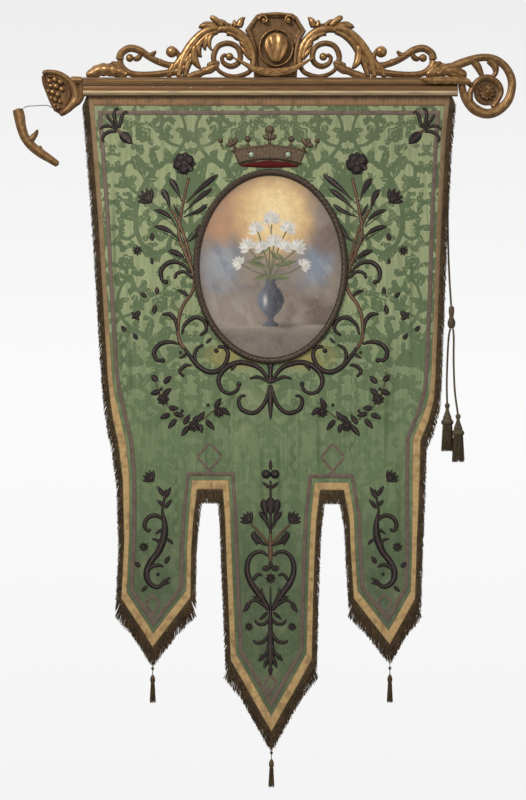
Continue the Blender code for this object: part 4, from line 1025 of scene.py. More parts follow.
def metal_thread(name, dark, light, lit_share, lay=1.5, roughness=0.45, metallic=0.45):
    """Padded embroidery: fine threads laid across, with a painted highlight along the raised middle."""
    thread = Finish(name, roughness, metallic, **{"Specular IOR Level": 0.25})
    along, across = thread.along_across()
    middle = abs(across - 0.5) * 2
    laid = (along + across * 2.2).wave(lay)
    age = thread.noise(7, 3)
    # painted highlight: the lighter colour along the middle of each padded stroke, over the darker thread
    colour = thread.mix((1 - middle.rise(0.1, lit_share)) * (age.rise(0.3, 0.6) * 0.6 + 0.4), dark, light)
    colour = thread.mix(laid * 0.45, colour, tuple(part * 0.35 for part in dark))
    thread.feed("Base Color", colour)
    thread.bump(laid, 0.35, 0.7)
    return thread.material


def gilding(name="gilt wood", shaded_bands=None):
    """Worn gilding on carved wood: bright where it stands proud, painted shade with some grime in the grooves
    and on the parts set back, a few chips.

    Shaded bands, given for the crossbar, are the colours of its mouldings by height, with painted highlights
    on the rounds and painted shade in the coves.
    """
    gold = Finish(name, 0.34, 0.7)
    across = gold.along_across()[1]
    _, y, z = gold.place()
    cloudy = gold.noise(16, 4)
    grime = gold.noise(4.5, 3)
    if shaded_bands:
        # painted highlight and painted shade of the mouldings, by height
        colour = gold.value("ShaderNodeValToRGB", {"stops": shaded_bands}, {0: z / 60 + 0.5})
        streaks = gold.noise(5, 3, (14, 1, 1))
        colour = gold.mix(streaks.rise(0.4, 0.75) * 0.5, colour, (0.07, 0.032, 0.014))
        chip = gold.noise(6, 2, (1.6, 1, 1)).rise(0.735, 0.75) * (1 - abs(z - 6).rise(10, 13)) * 0.9
        hole = gold.noise(5, 1).rise(0.76, 0.78) * (1 - abs(z - 6).rise(5, 8))
        colour = gold.mix(hole, colour, (0.012, 0.008, 0.006))
        shade = hole
    else:
        # painted shade in the carved grooves and on the parts set further back, with a little grime mixed in
        groove = (abs(across - 0.5) * 2).rise(0.25, 0.95)
        deep = y.rise(-53, -40)
        colour = gold.mix(cloudy.rise(0.3, 0.7), (0.40, 0.232, 0.090), (0.235, 0.118, 0.042))
        shade = gold.math("MINIMUM", groove * 0.62 + deep * 0.62 + grime.rise(0.5, 0.75) * 0.3, 1.0)
        colour = gold.mix(shade, colour, (0.050, 0.021, 0.009))
        chip = gold.noise(9, 2).rise(0.76, 0.77)
    colour = gold.mix(chip * 0.8, colour, (0.50, 0.45, 0.38))
    gold.feed("Base Color", colour)
    gold.feed("Metallic", (0.42 if shaded_bands else 0.72) * (1 - chip) - shade * 0.3)
    gold.feed("Roughness", grime * 0.25 + 0.22 + shade * 0.25)
    gold.bump(cloudy * 0.5 + grime * 0.5, 0.6, 0.6)
    return gold.material


def yarn(name, dark, light, roughness=0.6, metallic=0.2, fleck=3.0):
    """Fringe, cord and tassel threads: dark with lighter flecks where the metal still shows."""
    strand = Finish(name, roughness, metallic, **{"Specular IOR Level": 0.2})
    flecks = strand.noise(fleck, 3)
    broad = strand.noise(30, 2)
    worn = flecks.rise(0.43, 0.64) * (broad.rise(0.3, 0.6) * 0.5 + 0.5)
    strand.feed("Base Color", strand.mix(worn, dark, light))
    return strand.material


def painted_canvas():
    """Varnished oil paint on canvas."""
    paint = Finish("oil on canvas", 0.42, **{"Coat Weight": 0.15, "Coat Roughness": 0.3})
    weave = paint.noise(1.6, 2)
    crack = paint.value("ShaderNodeTexVoronoi", {"feature": "DISTANCE_TO_EDGE"}, {
        "Vector": paint.vector("SCALE", paint.value("ShaderNodeTexCoord", output=3), scale=45.0),
        "Scale": 1.0,
    })
    colour = paint.mix(1 - crack.rise(0.0, 0.016), paint.attribute("paint", 0), (0.30, 0.27, 0.24))
    paint.feed("Base Color", paint.mix(weave * 0.16, colour, (0.10, 0.09, 0.08)))
    paint.bump(weave, 0.25, 0.5)
    return paint.material


def plain(name, colour, roughness, metallic=0.0, size=6, deeper=0.5, **fixed):
    """A finish of one colour with fine unevenness."""
    finish = Finish(name, roughness, metallic, **fixed)
    uneven = finish.noise(size, 3)
    shade = tuple(part * deeper for part in colour)
    finish.feed("Base Color", finish.mix(uneven.rise(0.35, 0.7) * 0.7, colour, shade))
    finish.bump(uneven, 0.2, 0.4)
    return finish.material


def distance_to(loop, x, z):
    """How far places lie from a closed loop of points."""
    nearest = np.full(np.shape(x), np.inf)
    for (x1, z1), (x2, z2) in zip(loop, loop[1:] + loop[:1]):
        nearest = np.minimum(nearest, beside(x, z, x1, z1, x2, z2)[1])
    return nearest


def filled(loop, outline, spacing):
    """Places and triangles that fill a loop: its own points first, then rows of sites inside it."""
    xs, zs = [point[0] for point in loop], [point[1] for point in loop]
    sites = []
    for row, z in enumerate(np.arange(min(zs), max(zs), spacing * 0.866)):
        x = np.arange(min(xs) + row % 2 * spacing / 2, max(xs), spacing)
        sites.append(np.column_stack([x, np.full(x.shape, z)]))
    sites = np.vstack(sites)
    clear = inside(outline, sites[:, 0], sites[:, 1])
    clear &= distance_to(outline, sites[:, 0], sites[:, 1]) > spacing * 0.6
    points = [Vector(point) for point in [*loop, *sites[clear].tolist()]]
    made = delaunay_2d_cdt(points, [], [list(range(len(loop)))], 1, 1e-5)
    order = {k: own[0] for k, own in enumerate(made[3]) if own}
    places = np.array(points)
    triangles = []
    for face in made[2]:
        a, b, c = (order[i] for i in face)
        turn = np.cross(places[b] - places[a], places[c] - places[a])
        triangles.append((a, b, c) if turn > 0 else (a, c, b))
    return places, triangles


def plate(shape, outline, spacing, front, back, refine=5):
    """A carved or padded plate: front depth is a function of x, z and the distance from its edge."""
    loop = [point[:2] for point in stepped([*outline, outline[0]], refine)[:-1]]
    places, triangles = filled(loop, list(outline), spacing)
    x, z = places[:, 0], places[:, 1]
    depth = front(x, z, distance_to(list(outline), x, z))
    first = len(shape.points)
    uv = np.column_stack([x, np.full(x.shape, 0.5)]).tolist()
    shape.triangles(np.column_stack([x, depth, z]), triangles, uv)
    rim = range(len(loop))
    ground = back(x[: len(loop)], z[: len(loop)])
    low = len(shape.points)
    shape.points += [(x[i], ground[i], z[i]) for i in rim]
    for i in rim:
        k = (i + 1) % len(loop)
        shape.faces.append([first + i, low + i, low + k, first + k])
        shape.uvs += [(0, 0.0)] * 4
    shape.faces.append([low + i for i in reversed(rim)])
    shape.uvs += [(0, 0.0)] * len(loop)


def ways(route):
    """Unit steps along a route in the plane of the front."""
    way = np.gradient(route[:, :2], axis=0)
    return way / np.maximum(np.hypot(way[:, 0], way[:, 1]), 1e-6)[:, None]


def across_route(route, half, t):
    """x and z of places across a route, t from -1 at its right edge to 1 at its left."""
    left = ways(route)[:, ::-1] * (-1, 1)
    return [route[:, i:i + 1] + left[:, i:i + 1] * half[:, None] * t for i in (0, 1)]


def raised(shape, route, height, ground=face_of_cloth, lift=0.0, groove=0.0, ends=True, columns=7):
    """A padded stroke on a ground: domed across, rounded at both ends; lift raises it off the ground."""
    along = walked(route)
    half = route[:, 2].copy()
    swell = np.ones(len(route))
    if ends:
        reach = np.maximum(np.array([half[0], half[-1]]), 1.0)
        near = np.minimum(np.minimum(along / reach[0], (along[-1] - along) / reach[1]), 1)
        swell = np.sqrt(1 - (1 - near) ** 2) * 0.96 + 0.04
    half *= swell
    t = np.linspace(-1, 1, columns)
    x, z = across_route(route, half, t)
    dome = np.sqrt(np.maximum(1 - t * t, 0)) * (1 - groove * np.exp(-(t / GROOVE_WIDTH) ** 2))
    thick = np.minimum(height, route[:, 2] * 0.95) * swell
    y = ground(x, z) - lift - thick[:, None] * dome
    y[:, [0, -1]] = ground(x, z)[:, [0, -1]] + SUNK
    shape.grid(np.stack([x, y, z], 2), uv_grid(along, (t + 1) / 2))


def leaf(shape, base, tip, half_width, bow, height, lift=0.0, ground=face_of_cloth, rows=11, full=0.8):
    """A padded leaf from base to tip with a groove for its vein."""
    base, tip = np.array(base, float), np.array(tip, float)
    s = np.linspace(0, 1, rows)
    way = tip - base
    side = np.array([-way[1], way[0]]) / max(np.hypot(*way), 1e-6)
    line = base + s[:, None] * way + side * (bow * 4 * s * (1 - s))[:, None]
    half = half_width * np.sin(math.pi * np.clip(s * 0.93 + 0.05, 0, 1) ** full) ** 0.8
    half = np.maximum(half, LEAF_STALK * (1 - s))
    raised(shape, np.column_stack([line, half]), height, ground, lift, 0.45, ends=False, columns=7)


def knob(shape, x, z, radius, height, ground=face_of_cloth, lift=0.0, rings=6, sides=16):
    """A padded knot or a boss."""
    a = np.linspace(0, math.pi / 2, rings)
    turn = turns(sides)
    px = x + np.sin(a)[:, None] * radius * np.cos(turn)
    pz = z + np.sin(a)[:, None] * radius * np.sin(turn)
    low = ground(px, pz)
    py = low - lift - height * np.cos(a)[:, None]
    py[-1] = low[-1] + 0.3
    uv = uv_grid(0.5 + a / math.pi, turn * radius)[..., ::-1]
    shape.grid(np.stack([px, py, pz], 2)[::-1], uv[::-1], closed=True)


def flower(shape, centres, x, z, radius, kind, turn=0.0):
    """Petals round a middle: a rose, a star, a bloom, or a bell that leans away from the cloth's middle."""
    for count, reach, width, start, lift in PETAL_RINGS[kind]:
        for i in range(count):
            spread = 2 * math.pi / count * (i + lift * 0.3) + turn
            if kind == "bell":
                spread = math.radians(90 + (i - (count - 1) / 2) * 29) - BELL_TILT * np.sign(x)
            way = np.array([math.cos(spread), math.sin(spread)])
            middle = np.array([x, z])
            base = way * start
            if kind == "bell":
                base = np.array([math.sin(BELL_TILT) * np.sign(x), math.cos(BELL_TILT)]) * start
            leaf(
                shape, middle + base * radius, middle + way * radius * reach, radius * width, 0,
                LEAF_HEIGHT, lift, full=1.15,
            )
    knob(centres, x, z, radius * 0.2 + 1.2, 2.6 + PETAL_RINGS[kind][-1][4], lift=1.2)
    if kind == "rose":
        for spread in ROSE_KNOBS:
            px, pz = x + math.cos(spread) * radius * 0.5, z + math.sin(spread) * radius * 0.5
            knob(shape, px, pz, radius * 0.46, 5.5, lift=0.6)


def mirrored(rows):
    """A row of stations on the other side of the middle line."""
    return tuple((-row[0], *row[1:]) for row in rows)


def laid_strokes(scrolls, stems, centres):
    """Scrolls with a thin ridge down their middle, and stems."""
    strokes = list(SIDE_STROKES.items())
    strokes += [(name, mirrored(rows)) for name, rows in SIDE_STROKES.items()]
    strokes += list(MIDDLE_STROKES.items())
    for name, rows in strokes:
        is_stem = name.endswith("stem")
        height = STEM_HEIGHT if is_stem else STITCH_HEIGHT
        line = spline(rows, STITCH_STEP)
        line[:, 2] *= STEM_FULLNESS if is_stem else STITCH_FULLNESS
        raised(stems if is_stem else scrolls, line, height)
        if not is_stem:
            line[:, 2] *= 0.3
            raised(centres, line[1:-1], 1.2, lift=STITCH_HEIGHT * 0.72)


def laid_leaves(leaves, centres):
    """Leaves on both sides, each with a raised vein."""
    rows = [*SIDE_LEAVES, *MIDDLE_LEAVES]
    rows += [(-x1, z1, -x2, z2, half, -bow) for x1, z1, x2, z2, half, bow in SIDE_LEAVES]
    for x1, z1, x2, z2, half, bow in rows:
        if math.hypot(x2 - x1, z2 - z1) > LONG_LEAF:
            leaf(leaves, (x1, z1), (x2, z2), half * 1.3, bow, LEAF_HEIGHT, full=SPOON)
        else:
            leaf(leaves, (x1, z1), (x2, z2), half, bow, LEAF_HEIGHT)
        vein = np.linspace((x1, z1, 1.1), (x1 + (x2 - x1) * 0.72, z1 + (z2 - z1) * 0.72, 0.7), 5)
        raised(centres, vein, 1.0, lift=LEAF_HEIGHT * 0.5)


def laid_flowers(leaves, centres):
    """Flowers and knots on both sides and in the middle."""
    for x, z, radius, kind in SIDE_FLOWERS:
        flower(leaves, centres, x, z, radius, kind)
        flower(leaves, centres, -x, z, radius, kind, 0.2)
    for x, z, radius, kind in MIDDLE_FLOWERS:
        flower(leaves, centres, x, z, radius, kind)
    for x, z, radius in SIDE_KNOTS:
        for side in (1, -1):
            knob(leaves, side * x, z, radius, radius * 0.5)
            knob(centres, side * x, z, radius * 0.45, 1.4, lift=radius * 0.4)


def laid_lozenges(trims):
    """Lozenges of flat braid with two short ends crossed at the foot."""
    for x, z, half_width, half_height in LOZENGES:
        ring = [(x, z + half_height), (x + half_width, z), (x, z - half_height), (x - half_width, z)]
        lines = list(zip(ring, ring[1:] + ring[:1]))
        for side in (1, -1):
            lines.append(((x, z - half_height), (x + side * half_width * 0.42, z - half_height * 1.42)))
        for (x1, z1), (x2, z2) in lines:
            raised(trims, np.linspace((x1, z1, LOZENGE_BAND), (x2, z2, LOZENGE_BAND), 9), 1.1)


def embroidery(dark, copper, worn, narrow):
    """Raised metal thread scrolls, stems, leaves and flowers on the whole cloth."""
    scrolls, stems, leaves, centres, trims = Shape(), Shape(), Shape(), Shape(), Shape()
    laid_strokes(scrolls, stems, centres)
    laid_leaves(leaves, centres)
    laid_flowers(leaves, centres)
    laid_lozenges(trims)
    return [
        scrolls.piece("embroidered_scrolls", dark, "gold_thread", outwards=False),
        leaves.piece("embroidered_leaves", dark, "gold_thread", outwards=False),
        stems.piece("embroidered_stems", copper, "gold_thread", outwards=False),
        centres.piece("embroidered_veins", worn, "gold_thread", outwards=False),
        trims.piece("braid_lozenges", narrow, "tarnished_braid", outwards=False),
    ]


# Damask: one motif, on a mirror line at u 0, that rises from v 0; the next line's is a half drop lower.
DAMASK_LINES, DAMASK_HALF, DAMASK_DROP = -255, 251, 544
DAMASK_START = -700
PLAIN = 30                   # distance given to the lining, which has no figure
DAMASK_SEED, SPRIG_SPACING = 11, 47
DAMASK_STROKES = (           # u, v, half width
    ((0, 30, 5), (0, 120, 9), (0, 210, 6), (0, 300, 3)),
    ((6, 60, 4), (30, 40, 7), (58, 48, 8), (70, 78, 8), (56, 104, 8), (34, 100, 6), (30, 82, 4)),
    ((4, 120, 4), (24, 150, 7), (60, 168, 9), (98, 160, 8), (118, 132, 8), (108, 104, 7), (90, 102, 5)),
    ((2, 200, 3), (16, 240, 6), (44, 268, 8), (74, 270, 7), (88, 248, 6), (78, 232, 4)),
    ((70, 60, 4), (110, 52, 6), (150, 72, 7), (172, 118, 8), (176, 176, 8), (164, 236, 8), (140, 286, 7),
     (104, 328, 7), (62, 352, 7), (30, 390, 6), (16, 440, 5), (30, 490, 5), (60, 520, 6)),
    ((172, 118, 5), (200, 96, 6), (222, 104, 6), (226, 128, 5), (212, 140, 4)),
    ((164, 236, 5), (196, 262, 6), (216, 300, 6), (208, 336, 6), (186, 340, 5), (180, 322, 4)),
    ((30, 390, 4), (66, 402, 6), (92, 430, 7), (92, 466, 7), (70, 478, 6), (56, 462, 4)),
)
DAMASK_LEAVES = (            # u and v of the base, u and v of the tip, half width
    (0, 250, 0, 352, 20), (8, 232, 52, 336, 15), (12, 214, 96, 306, 12),
    (60, 166, 72, 214, 12), (90, 162, 118, 206, 12), (116, 138, 150, 156, 9),
    (176, 160, 222, 176, 13), (174, 196, 222, 226, 13), (150, 80, 140, 34, 13), (118, 56, 98, 16, 12),
    (146, 280, 176, 388, 12), (110, 324, 132, 394, 13), (70, 350, 84, 392, 10), (176, 144, 140, 176, 11),
    (168, 220, 126, 232, 13), (140, 286, 96, 288, 10), (22, 400, 0, 440, 12), (18, 440, 58, 448, 9),
    (200, 268, 236, 262, 9), (214, 310, 242, 334, 10), (92, 440, 124, 452, 11), (86, 470, 112, 500, 12),
    (60, 352, 22, 338, 10), (28, 486, 2, 524, 11), (0, 30, 0, -36, 14), (6, 34, 44, -6, 11),
    (222, 112, 244, 78, 9),
)
DAMASK_ROSES = ((150, 430, 24), (206, 470, 17), (204, 24, 22), (124, 240, 15), (40, 130, 10), (232, 396, 13))


def damask_sprigs():
    """Rose sprigs of three leaves that fill the ground between the damask's stems."""
    rng = random.Random(DAMASK_SEED)
    places, leaves = [], []
    for _ in range(1400):
        u, v = rng.uniform(6, DAMASK_HALF - 6), rng.uniform(-DAMASK_DROP, DAMASK_DROP)
        if all(math.hypot(u - a, v - b) > SPRIG_SPACING for a, b in places):
            places.append((u, v))
    for u, v in places:
        lean = rng.uniform(0, 2 * math.pi)
        for turn in (-1.05, 0, 1.05):
            long = rng.uniform(24, 33)
            way = lean + turn + rng.uniform(-0.2, 0.2)
            leaves.append((u + 4 * math.cos(way), v + 4 * math.sin(way),
                           u + long * math.cos(way), v + long * math.sin(way), long * 0.37))
    return leaves


def near_strokes(nearest, line, height):
    for rows in DAMASK_STROKES:
        route = spline(rows, 9)
        for (u1, v1, h1), (u2, v2, h2) in zip(route, route[1:]):
            t, far = beside(line, height, u1, v1, u2, v2)
            nearest = np.minimum(nearest, far - (h1 + (h2 - h1) * t))
    return nearest


def near_leaves(nearest, line, height, sprigs):
    for u1, v1, u2, v2, half in [*DAMASK_LEAVES, *sprigs]:
        long = math.hypot(u2 - u1, v2 - v1)
        rise = (height - v1 + DAMASK_DROP) % (2 * DAMASK_DROP) - DAMASK_DROP
        near = np.nonzero(np.hypot(line - u1, rise) < long + 25)[0]
        t, side, width, long = flat_leaf(line[near] - u1, rise[near], u2 - u1, v2 - v1, half)
        side = np.abs(side)
        lobes = 1 + 0.16 * np.cos(t * 22)
        body = np.maximum(side - width * lobes, np.maximum(-t, t - 1) * long)
        nearest[near] = np.minimum(nearest[near], np.maximum(body, 1.3 - side))
    return nearest


def near_roses(nearest, line, height):
    for u1, v1, radius in DAMASK_ROSES:
        far, turn = np.hypot(line - u1, height - v1), np.arctan2(height - v1, line - u1)
        edge = radius * (1 + 0.13 * np.cos(5 * turn))
        ring = np.maximum(far - edge, np.maximum(2.4 - np.abs(far - edge * 0.62), -far + edge * 0.2))
        nearest = np.minimum(nearest, ring)
    return nearest


def damask_distance(x, z):
    """Millimetres from the edge of the woven figure; negative in it."""
    sprigs = damask_sprigs()
    u = np.abs((x - DAMASK_LINES + DAMASK_HALF) % (2 * DAMASK_HALF) - DAMASK_HALF)
    nearest = np.full(x.shape, 60.0)
    for line, drop in ((u, 0), (DAMASK_HALF - u, DAMASK_DROP)):
        height = (z - DAMASK_START + drop) % (2 * DAMASK_DROP) - 120
        height = np.where(height > 2 * DAMASK_DROP - 360, height - 2 * DAMASK_DROP, height)
        nearest = near_strokes(nearest, line, height)
        nearest = near_leaves(nearest, line, height, sprigs)
        nearest = near_roses(nearest, line, height)
    return nearest


def edge_loops():
    """The cloth's coarse edge, its inner lines for the braids, and where the top starts."""
    edge, widths = [], {GALLOON: [], BRAID_NEAR: [], BRAID_FAR: []}
    for run in EDGE:
        corner = len(edge)
        rows = run if run in HEMS else stepped(run, EDGE_STEP)
        for a, b in zip(rows, rows[1:]):
            edge.append((a[0], a[1]))
            for column, values in widths.items():
                values.append((a[column] + b[column]) / 2)
    return edge, {column: offset(edge, values) for column, values in widths.items()}, corner


def cloth(silk, edge):
    """The banner's cloth, a closed sheet whose face carries the damask."""
    shape = Shape()
    loop = [point[:2] for point in stepped([*edge, edge[0]], FINE_STEP)[:-1]]
    for spacing, side in ((FRONT_SPACING, -1), (BACK_SPACING, 1)):
        places, triangles = filled(loop, edge, spacing)
        x, z = places[:, 0], places[:, 1]
        depth = cloth_depth(x, z) + side * CLOTH_THICK / 2
        if side > 0:
            back_start = len(shape.points)
            triangles = [face[::-1] for face in triangles]
        shape.triangles(np.column_stack([x, depth, z]), triangles, np.column_stack([x, z]).tolist())
    count = len(loop)
    for i in range(count):
        k = (i + 1) % count
        shape.faces.append([i, back_start + i, back_start + k, k])
        shape.uvs += [(0, 0)] * 4
    piece = shape.piece("banner_cloth", silk, "green_silk", ["cloth_panel"], outwards=False)
    points = np.array(shape.points)
    figure = piece.data.attributes.new("figure", "FLOAT", "POINT")
    distance = damask_distance(points[:, 0], points[:, 2])
    distance[back_start:] = PLAIN
    # painted shade along the narrow creases, none on the back
    shaded_creases = creases(points[:, 0], points[:, 2])
    shaded_creases[back_start:] = 0
    figure.data.foreach_set("value", distance.astype(np.float32))
    crease = piece.data.attributes.new("crease", "FLOAT", "POINT")
    crease.data.foreach_set("value", shaded_creases.astype(np.float32))
    return piece


def creases(x, z):
    """How much painted shade the narrow creases put on the silk, from 0 to 1."""
    dark = np.zeros(x.shape)
    for x_top, z_top, x_foot, z_foot, half_width, _, _ in FOLDS:
        if half_width < NARROW_CREASE:
            along = (z_top - z) / (z_top - z_foot)
            across = x - x_top - (x_foot - x_top) * along
            fade = smooth(along / FOLD_RISE) * smooth((1 - along) / FOLD_FALL)
            shown = np.where((along > 0) & (along < 1), fade, 0)
            dark = np.maximum(dark, shown * np.exp(-(across / CREASE_SHADE) ** 2))
    return dark


def braid(name, material, slot, node, near, far, stretches, thick, columns=9, wrap=False):
    """A flat woven trim between two lines on the cloth, its corners mitred."""
    shape = Shape()
    along = 0.0
    t = np.linspace(0, 1, columns)
    profile = thick * np.sqrt(np.maximum(1 - (2 * t - 1) ** 6, 0))
    count = len(near)
    for i in stretches:
        k = (i + 1) % count
        n1, n2, f1, f2 = (np.array(p) for p in (near[i], near[k], far[i], far[k]))
        length = float(np.hypot(*((n2 + f2 - n1 - f1) / 2)))
        parts = max(2, math.ceil(length / 8))
        s = np.linspace(0, 1, parts + 1)
        a, b = n1 + s[:, None] * (n2 - n1), f1 + s[:, None] * (f2 - f1)
        place = a[:, None] + t[None, :, None] * (b - a)[:, None]
        x, z = place[..., 0], place[..., 1]
        y = face_of_cloth(x, z) - TRIM_LIFT - profile
        y[:, -1] += TRIM_LIFT + 0.2
        y[:, 0] += TRIM_LIFT + (CLOTH_THICK if wrap else 0.2)
        shape.grid(np.stack([x, y, z], 2), uv_grid(along + s * length, t))
        along += length
    return shape.piece(name, material, slot, node, outwards=False, merge=0.05)


def edge_trims(galloon, heading, narrow, edge, loops, corner):
    """Galloon down the sides and along the tails, heading band at the top, narrow braid inside both."""
    sides, top = range(corner), range(corner, len(edge))
    return [
        braid(
            "edge_galloon", galloon, "gold_galloon", ["galloon"], edge, loops[GALLOON], sides,
            GALLOON_THICK, wrap=True,
        ),
        braid(
            "heading", heading, "heading_silk", ["heading_band"], edge, loops[GALLOON], top,
            GALLOON_THICK, 11, True,
        ),
        braid(
            "inner_braid", narrow, "tarnished_braid", ["narrow_braid"], loops[BRAID_NEAR], loops[BRAID_FAR],
            range(len(edge)), BRAID_THICK,
        ),
    ]


def thread_tree():
    """Threads that hang from a line: each follows the line's hang direction with a little freedom."""
    group = bpy.data.node_groups.new("hanging threads", "GeometryNodeTree")
    face = group.interface
    face.new_socket("Line", in_out="INPUT", socket_type="NodeSocketGeometry")
    for name in ("Pitch", "Length", "Thickness", "Spread", "Waver"):
        face.new_socket(name, in_out="INPUT", socket_type="NodeSocketFloat")
    face.new_socket("Seed", in_out="INPUT", socket_type="NodeSocketInt")
    face.new_socket("Material", in_out="INPUT", socket_type="NodeSocketMaterial")
    face.new_socket("Threads", in_out="OUTPUT", socket_type="NodeSocketGeometry")
    tree = Tree(group)
    given = tree.node("NodeGroupInput")
    values = [Value(tree, given.outputs[i]) for i in range(8)]
    line, pitch, length, thickness, spread, waver, seed, material = values
    curve = tree.value("GeometryNodeMeshToCurve", None, {"Mesh": line})
    beads = tree.value("GeometryNodeResampleCurve", {"mode": "LENGTH"}, {"Curve": curve, "Length": pitch})
    ring = tree.value("GeometryNodeCurvePrimitiveCircle", None, {"Resolution": 3, "Radius": thickness * 0.5})
    rod = tree.value("GeometryNodeCurvePrimitiveLine", None, {"End": (0.0, 0.0, 1.0)})
    rod = tree.value("GeometryNodeResampleCurve", {"mode": "COUNT"}, {"Curve": rod, "Count": 7})
    rod = tree.value("GeometryNodeCurveToMesh", None, {
        "Curve": rod, "Profile Curve": ring, "Fill Caps": True,
    })
    place = tree.value("GeometryNodeInputPosition")
    height = tree.node("ShaderNodeSeparateXYZ", None, {0: place})
    rod = tree.value("GeometryNodeStoreNamedAttribute", {"data_type": "FLOAT", "domain": "POINT"}, {
        "Geometry": rod, "Name": "drop", "Value": Value(tree, height.outputs[2]),
    })
    hang = tree.value("GeometryNodeInputNamedAttribute", {"data_type": "FLOAT_VECTOR"}, {"Name": "hang"})
    free = tree.value("FunctionNodeRandomValue", {"data_type": "FLOAT_VECTOR"}, {
        0: (-1.0, -1.0, -1.0), 1: (1.0, 1.0, 1.0), "Seed": seed,
    })
    way = tree.vector("ADD", hang, tree.vector("SCALE", free, scale=spread))
    turn = tree.value("FunctionNodeAlignRotationToVector", {"axis": "Z"}, {"Vector": way})
    tall = tree.value("FunctionNodeRandomValue", {"data_type": "FLOAT"}, {
        2: 0.88, 3: 1.06, "Seed": seed + 7,
    }, 1)
    scale = tree.value("ShaderNodeCombineXYZ", None, {0: 1.0, 1: 1.0, 2: tall * length})
    strands = tree.value("GeometryNodeInstanceOnPoints", None, {
        "Points": beads, "Instance": rod, "Rotation": turn, "Scale": scale,
    })
    strands = tree.value("GeometryNodeRealizeInstances", None, {"Geometry": strands})
    drop = tree.value("GeometryNodeInputNamedAttribute", {"data_type": "FLOAT"}, {"Name": "drop"})
    sway = tree.value("ShaderNodeTexNoise", {"noise_dimensions": "3D"}, {
        "Vector": tree.vector("MULTIPLY", place, (260.0, 260.0, 70.0)), "Scale": 1.0, "Detail": 1.0,
    }, 1)
    sway = tree.vector("SCALE", tree.vector("SUBTRACT", sway, (0.5, 0.5, 0.5)), scale=waver * drop * 2)
    strands = tree.value("GeometryNodeSetPosition", None, {"Geometry": strands, "Offset": sway})
    strands = tree.value("GeometryNodeSetMaterial", None, {"Geometry": strands, "Material": material})
    out = tree.node("NodeGroupOutput")
    group.links.new(strands.socket, out.inputs[0])
    return group


def threads(name, line, hang, closed, tree, material, slot, replaces=(), joined=(), **inputs):
    """A piece of hanging threads along a line, with other shapes joined in if given."""
    count = len(line)
    mesh = bpy.data.meshes.new(name)
    edges = [(i, (i + 1) % count) for i in range(count if closed else count - 1)]
    mesh.from_pydata([tuple(MM * v for v in point) for point in line], edges, [])
    way = mesh.attributes.new("hang", "FLOAT_VECTOR", "POINT")
    way.data.foreach_set("vector", np.array(hang, np.float32).ravel())
    maker = bpy.data.objects.new(name + " maker", mesh)
    bpy.context.scene.collection.objects.link(maker)
    modifier = maker.modifiers.new("threads", "NODES")
    modifier.node_group = tree
    given = {"Material": material, **inputs}
    for item in tree.interface.items_tree:
        if item.item_type == "SOCKET" and item.in_out == "INPUT" and item.name in given:
            modifier[item.identifier] = given[item.name]
    graph = bpy.context.evaluated_depsgraph_get()
    made = bpy.data.meshes.new_from_object(maker.evaluated_get(graph), depsgraph=graph)
    made.name = name
    bpy.data.objects.remove(maker)
    if joined:
        bm = bmesh.new()
        bm.from_mesh(made)
        for shape in joined:
            more = bpy.data.meshes.new("more")
            more.from_pydata([(x * MM, y * MM, z * MM) for x, y, z in shape.points], [], shape.faces)
            bm.from_mesh(more)
        bm.to_mesh(made)
        bm.free()
    return settle(name, made, material, replaces)


def fringe(name, run, pitch, length, lean, tree, material, seed):
    """Bullion fringe from an edge of the cloth, with the thin cord that heads it.

    The under layer of threads is a thin band behind the upper one.
    """
    route = np.array([row[:2] for row in stepped(run, FINE_STEP)])
    along = ways(np.column_stack([route, np.zeros(len(route))]))
    out = np.column_stack([along[:, 1], -along[:, 0]])
    route = route - out * FRINGE_SETBACK
    depth = cloth_depth(route[:, 0], route[:, 1])
    line = np.column_stack([route[:, 0], depth, route[:, 1]])
    gone = walked(route)
    near_end = np.clip(1 - np.minimum(gone, gone[-1] - gone) / CORNER_REACH, 0, 1)
    lean = np.full((len(out), 1), lean)
    if run in HEMS:
        lean += (CORNER_LEAN - lean) * near_end[:, None]
    hang = np.column_stack([out[:, :1] * lean, np.zeros(len(out)), out[:, 1:] * lean - 1])
    hang /= np.linalg.norm(hang, axis=1)[:, None]
    cord = Shape()
    turn = turns(6)
    ring = line[:, None] + FRINGE_CORD * np.stack([
        out[:, :1] * np.cos(turn), np.repeat(np.sin(turn)[None], len(out), 0), out[:, 1:] * np.cos(turn),
    ], 2)
    cord.grid(ring, np.zeros((len(line), 6, 2)), closed=True)
    foot = line + hang * length * BACKING_SHARE
    behind = np.array([0, BACKING_THICK, 0])
    backing = np.stack([line, foot, foot + behind, line + behind], 1)
    cord.grid(backing, np.zeros((len(line), 4, 2)), closed=True)
    return threads(
        name + "_threads", line, hang, False, tree, material, "bullion_fringe", [name], [cord],
        Pitch=pitch * MM, Length=length * MM, Thickness=FRINGE_THICK * MM, Spread=0.055,
        Waver=0.0009, Seed=seed,
    )


def fractal(x, z, size, seed):
    """Cloudy unevenness from -1 to 1 with lumps of about a size."""
    return np.array([
        noise.fractal(Vector((a / size, b / size, seed)), 1.0, 2.0, 4) for a, b in zip(x.ravel(), z.ravel())
    ]).reshape(x.shape)


